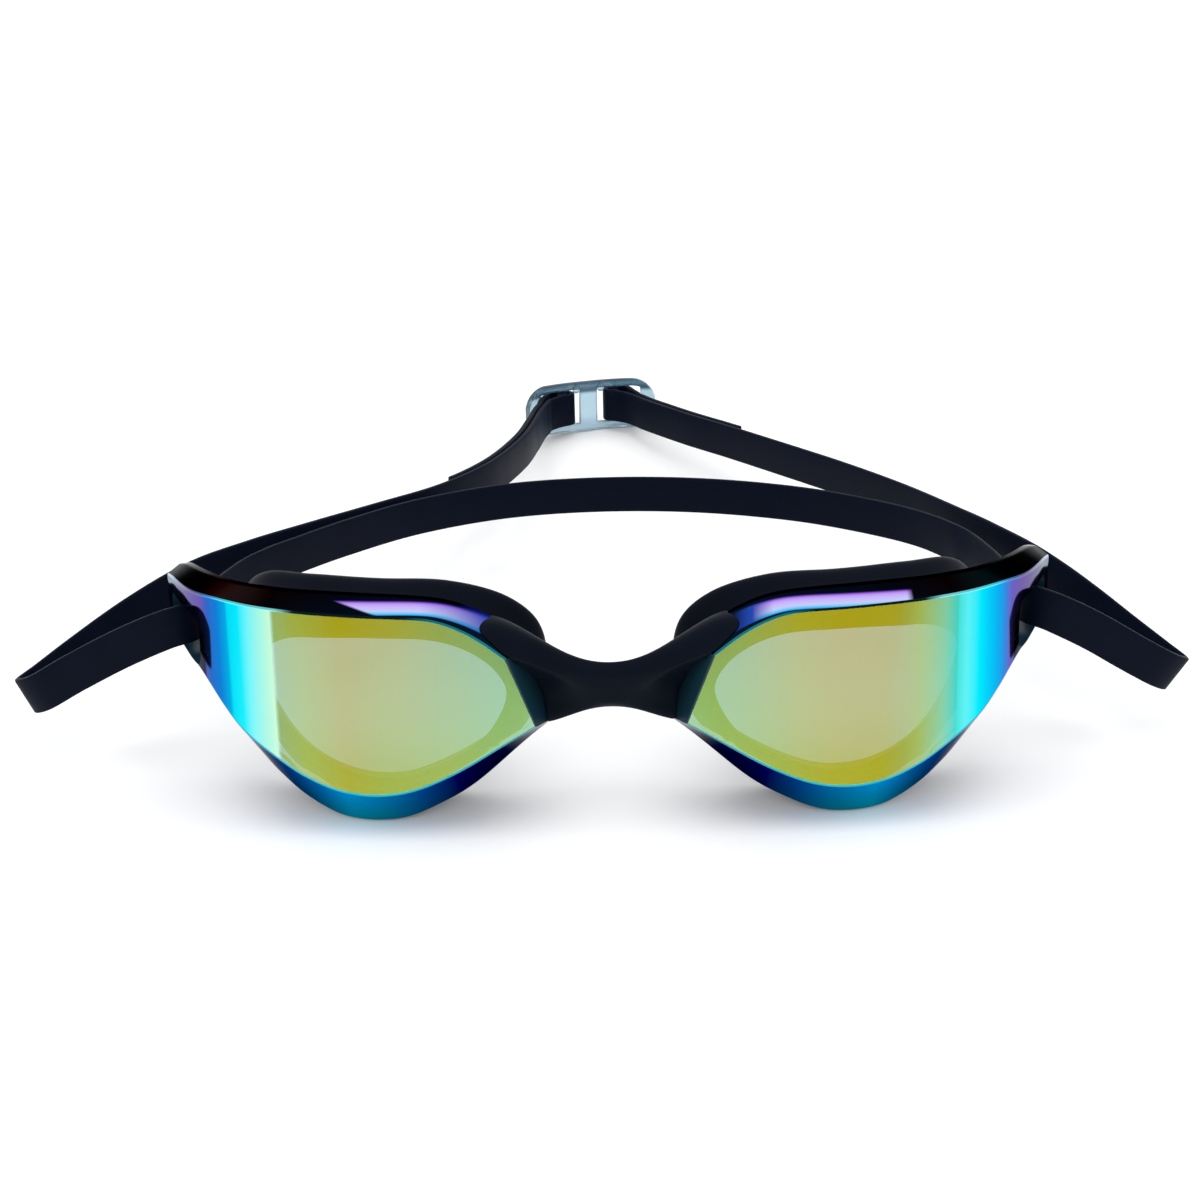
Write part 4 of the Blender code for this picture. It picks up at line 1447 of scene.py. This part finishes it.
@dataclass
class Strap:
    """The silicone strap, built in stretches that take the place of the CAD strap nodes."""

    material: bpy.types.Material
    clip: ClipPlace
    width: float = 6.8
    thickness: float = 1.1
    corner: float = 0.32

    def _piece(self, tree: RibbonTree, name: str, sections: Sequence[Section],
               nodes: Sequence[str]) -> bpy.types.Object:
        """One stretch of strap that stands for some CAD nodes."""
        obj = tree.sweep(name, sections, Width=self.width, Thickness=self.thickness,
                         Corner=self.corner, Finish=self.material)
        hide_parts(*nodes)
        report(obj)
        return obj

    def build(self) -> list[bpy.types.Object]:
        """Builds the whole strap."""
        route = StrapRoute(self.clip, self.thickness + 0.4)
        tree = RibbonTree()
        at = route.starts
        outer_right, outer_left = at["right_side"] + 2, at["left_outer"] - 3
        inner_right, inner_left = at["right_inner"] + 1, at["left_inner"] + 1
        pieces = []
        for side, low, high in ((Side.RIGHT, outer_right, inner_right),
                                (Side.LEFT, inner_left, outer_left)):
            loop = self._piece(tree, f"strap_{side.word}_loop", route.stretch(low, high),
                               [f"strap_loop_{side.word}"])
            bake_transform(loop)
            pieces.append(loop)
        band = self._piece(tree, "strap_head_band", route.stretch(inner_right, inner_left),
                           ["strap_inner_band", "strap_twist_inner_left",
                            "strap_twist_inner_right"])
        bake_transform(band)
        right = route.tail(route.stretch(0, outer_right), at["right_lead"], self.clip.right,
                           False)
        left = route.tail(route.stretch(outer_left, at["end"]), at["left_turn"] - 1,
                          self.clip.left, True)
        for side, sections in ((Side.RIGHT, right), (Side.LEFT, left)):
            run = self._piece(tree, f"strap_{side.word}_run", sections,
                              [f"strap_outer_{side.word}", f"strap_twist_outer_{side.word}"])
            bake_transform(run)
            pieces.append(run)
        return [*pieces, band]


# --- Clip -----------------------------------------------------------------------------------


@dataclass
class RearClip:
    """Clear arched slide clip with two windows on each side."""

    material: bpy.types.Material
    place: ClipPlace
    half: float = 14.4
    height: float = 10.6
    thickness: float = 1.6
    arch_radius: float = 28.0
    end_round: float = 5.0
    window: float = 3.95
    pad: float = 1.9
    middle_bar: tuple[float, float] = (5.0, 6.6)
    end_bar: float = 11.4
    end_share: float = 0.97
    window_share: float = 0.72
    boss_at: tuple[float, float] = (2.75, 3.9)
    boss_behind: float = -0.35
    boss_size: tuple[float, float, float] = (0.85, 0.85 * 1.15, 1.0)
    boss_shade: float = -0.8
    step: float = 0.55

    def _columns(self) -> list[float]:
        """Distances from the middle where the plate has a row of points."""
        keys = [0.0, self.pad, *self.middle_bar, self.end_bar, self.half]
        half = [0.0]
        for a, b in zip(keys, keys[1:]):
            count = max(1, round((b - a) / self.step))
            half += [a + (b - a) * (i + 1) / count for i in range(count)]
        return [-u for u in half[:0:-1]] + half

    def _add_bosses(self, clip: bpy.types.Object) -> None:
        """Adds the round bosses at the head of the two slits beside the pad."""
        bm = bmesh.new()
        bm.from_mesh(clip.data)
        turn = Matrix.Rotation(self.place.yaw, 4, "Z")
        out, up = self.boss_at
        for u in (-out, out):
            middle = turn @ Vector((u, self.boss_behind, up)) + Vector((*self.place.centre, 0))
            round_off = (Matrix.Translation(middle) @ turn
                         @ Matrix.Diagonal((*self.boss_size, 1.0)))
            bmesh.ops.create_uvsphere(bm, u_segments=20, v_segments=14, radius=1.0,
                                      matrix=round_off)
        # What has no pattern coordinates yet, up to the bosses' tops, takes one even shade.
        uv = bm.loops.layers.uv["pattern"]
        for face in bm.faces:
            if max(v.co.z for v in face.verts) < up + 1.01:
                for loop in face.loops:
                    if loop[uv].uv.length < 1e-9:
                        loop[uv].uv = (0.0, self.boss_shade)
        bm.to_mesh(clip.data)
        bm.free()

    def _lay_pattern(self, bm: bmesh.types.BMesh) -> None:
        """Gives the plate pattern coordinates that run from -1 to 1 up its height."""
        uv = bm.loops.layers.uv.new("pattern")
        for face in bm.faces:
            for loop in face.loops:
                place = loop.vert.co
                loop[uv].uv = (place.x / self.half, place.z * 2 / self.height)

    def build(self) -> bpy.types.Object:
        """Builds the clip and puts it on the strap."""
        bm = bmesh.new()
        columns = self._columns()
        turn = Matrix.Rotation(self.place.yaw, 3, "Z")
        grid = []
        for u in columns:
            round_off = max(0.0, (abs(u) - self.half + self.end_round) / self.end_round)
            tall = self.height / 2 * math.sqrt(1 - (self.end_share * round_off) ** 2)
            window = min(self.window, tall * self.window_share)
            back = -max(0.0, abs(u) - self.pad) ** 2 / (2 * self.arch_radius)
            grid.append([bm.verts.new(turn @ Vector((u, back, z)) + Vector((*self.place.centre, 0)))
                         for z in (-tall, -window, window, tall)])
        for k in range(len(columns) - 1):
            middle = abs(columns[k] + columns[k + 1]) / 2
            solid = (middle < self.pad or self.middle_bar[0] < middle < self.middle_bar[1]
                     or self.end_bar < middle)
            for row in (0, 1, 2):
                if row == 1 and not solid:
                    continue
                bm.faces.new((grid[k][row], grid[k + 1][row],
                              grid[k + 1][row + 1], grid[k][row + 1]))
        self._lay_pattern(bm)
        clip = finish_mesh("clip_plate", bm, Side.LEFT, [self.material])
        plate = clip.modifiers.new("plate", "SOLIDIFY")
        plate.thickness = self.thickness
        plate.offset = 0
        edges = clip.modifiers.new("edges", "BEVEL")
        edges.width = 0.5
        edges.segments = 4
        edges.limit_method = "ANGLE"
        edges.angle_limit = math.radians(50)
        bake_modifiers(clip)
        self._add_bosses(clip)
        settle(clip, 60.0)
        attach(clip, "clip_band")
        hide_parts("rear_clip")
        report(clip)
        return clip


# --- Studio ---------------------------------------------------------------------------------


@dataclass(frozen=True)
class SoftBox:
    """Large soft light aimed at the goggles."""

    name: str
    place: tuple[float, float, float]
    size: tuple[float, float]
    power: float
    mirrored: bool = False

    def build(self) -> None:
        """Adds the light to the scene."""
        light = bpy.data.lights.new(self.name, "AREA")
        light.shape = "RECTANGLE"
        light.size, light.size_y = self.size
        light.energy = self.power
        obj = bpy.data.objects.new(self.name, light)
        obj.location = self.place
        obj.rotation_euler = (-Vector(self.place)).to_track_quat("-Z", "Y").to_euler()
        obj.visible_glossy = self.mirrored
        bpy.context.scene.collection.objects.link(obj)


@dataclass
class Studio:
    """Pale floor, soft lights and the camera."""

    floor: bpy.types.Material
    boxes: tuple[SoftBox, ...] = (
        SoftBox("top_light", (0.0, 0.15, 1.3), (1.6, 1.6), 14.0),
        SoftBox("front_light", (0.0, -1.5, 0.9), (1.6, 0.9), 7.0),
        SoftBox("left_light", (1.3, -0.2, 0.6), (0.5, 0.9), 4.0),
        SoftBox("right_light", (-1.3, -0.2, 0.6), (0.5, 0.9), 4.0),
    )
    distance: float = 430.0
    elevation: float = math.radians(20)
    roll: float = 0.021
    lens: float = 80.52
    shift: tuple[float, float] = (-0.00833, 0.05)

    def _camera(self) -> None:
        """Looks at the goggles from the front and above."""
        view = Vector((0, math.cos(self.elevation), -math.sin(self.elevation)))
        backwards = -view
        right = Vector((1, 0, 0))
        turn = Matrix((right, backwards.cross(right), backwards)).transposed()
        turn = turn @ Matrix.Rotation(-self.roll, 3, "Z")
        eye = Matrix.Translation(-view * self.distance * MM) @ turn.to_4x4()
        camera = bpy.data.cameras.new("camera")
        camera.lens = self.lens
        camera.sensor_width = 36.0
        camera.shift_x, camera.shift_y = self.shift
        camera.clip_start = 0.01
        obj = bpy.data.objects.new("camera", camera)
        bpy.context.scene.collection.objects.link(obj)
        obj.matrix_world = SET_DOWN @ eye
        bpy.context.scene.camera = obj

    def build(self) -> None:
        """Builds the studio round the goggles."""
        bm = bmesh.new()
        corners = [bm.verts.new((x * 4, y * 4, 0)) for x, y in ((-1, -1), (1, -1), (1, 1), (-1, 1))]
        bm.faces.new(corners)
        floor = finish_mesh("floor", bm, Side.LEFT, [self.floor])
        for box in self.boxes:
            box.build()
        scene = bpy.context.scene
        scene.world = bpy.data.worlds.new("studio")
        scene.world.use_nodes = True
        sky = scene.world.node_tree.nodes["Background"].inputs
        sky["Color"].default_value = (0.95, 0.97, 1.0, 1.0)
        sky["Strength"].default_value = 0.65
        scene.view_settings.view_transform = "Standard"
        self._camera()


def main() -> None:
    """Builds every piece in order."""
    logging.basicConfig(level=logging.INFO, format="%(name)s %(message)s")
    shape = LensShape()
    place = ClipPlace()
    seal_silicone = SEAL_SILICONE.make()
    shared = {LensZone.CHIN: CHIN_COATING.make(), LensZone.NOSE: NOSE_COATING.make(),
              LensZone.CREASE: CREASE_HIGHLIGHT.make(), LensZone.BODY: LENS_BODY.make()}
    for side in Side:
        coats = {LensZone.FACE: FACES[side].make(), LensZone.BROW: BROWS[side].make(), **shared}
        Lens(side, shape, [coats[zone] for zone in LensZone]).build()
        EyeSeal(side, SealShape(), seal_silicone).build()
    NoseBridge(shape, BRIDGE_SILICONE.make()).build()
    Strap(STRAP_SILICONE.make(), place).build()
    RearClip(CLIP_PLASTIC.make(), place).build()
    Studio(FLOOR.make()).build()


if __name__ == "__main__":
    main()
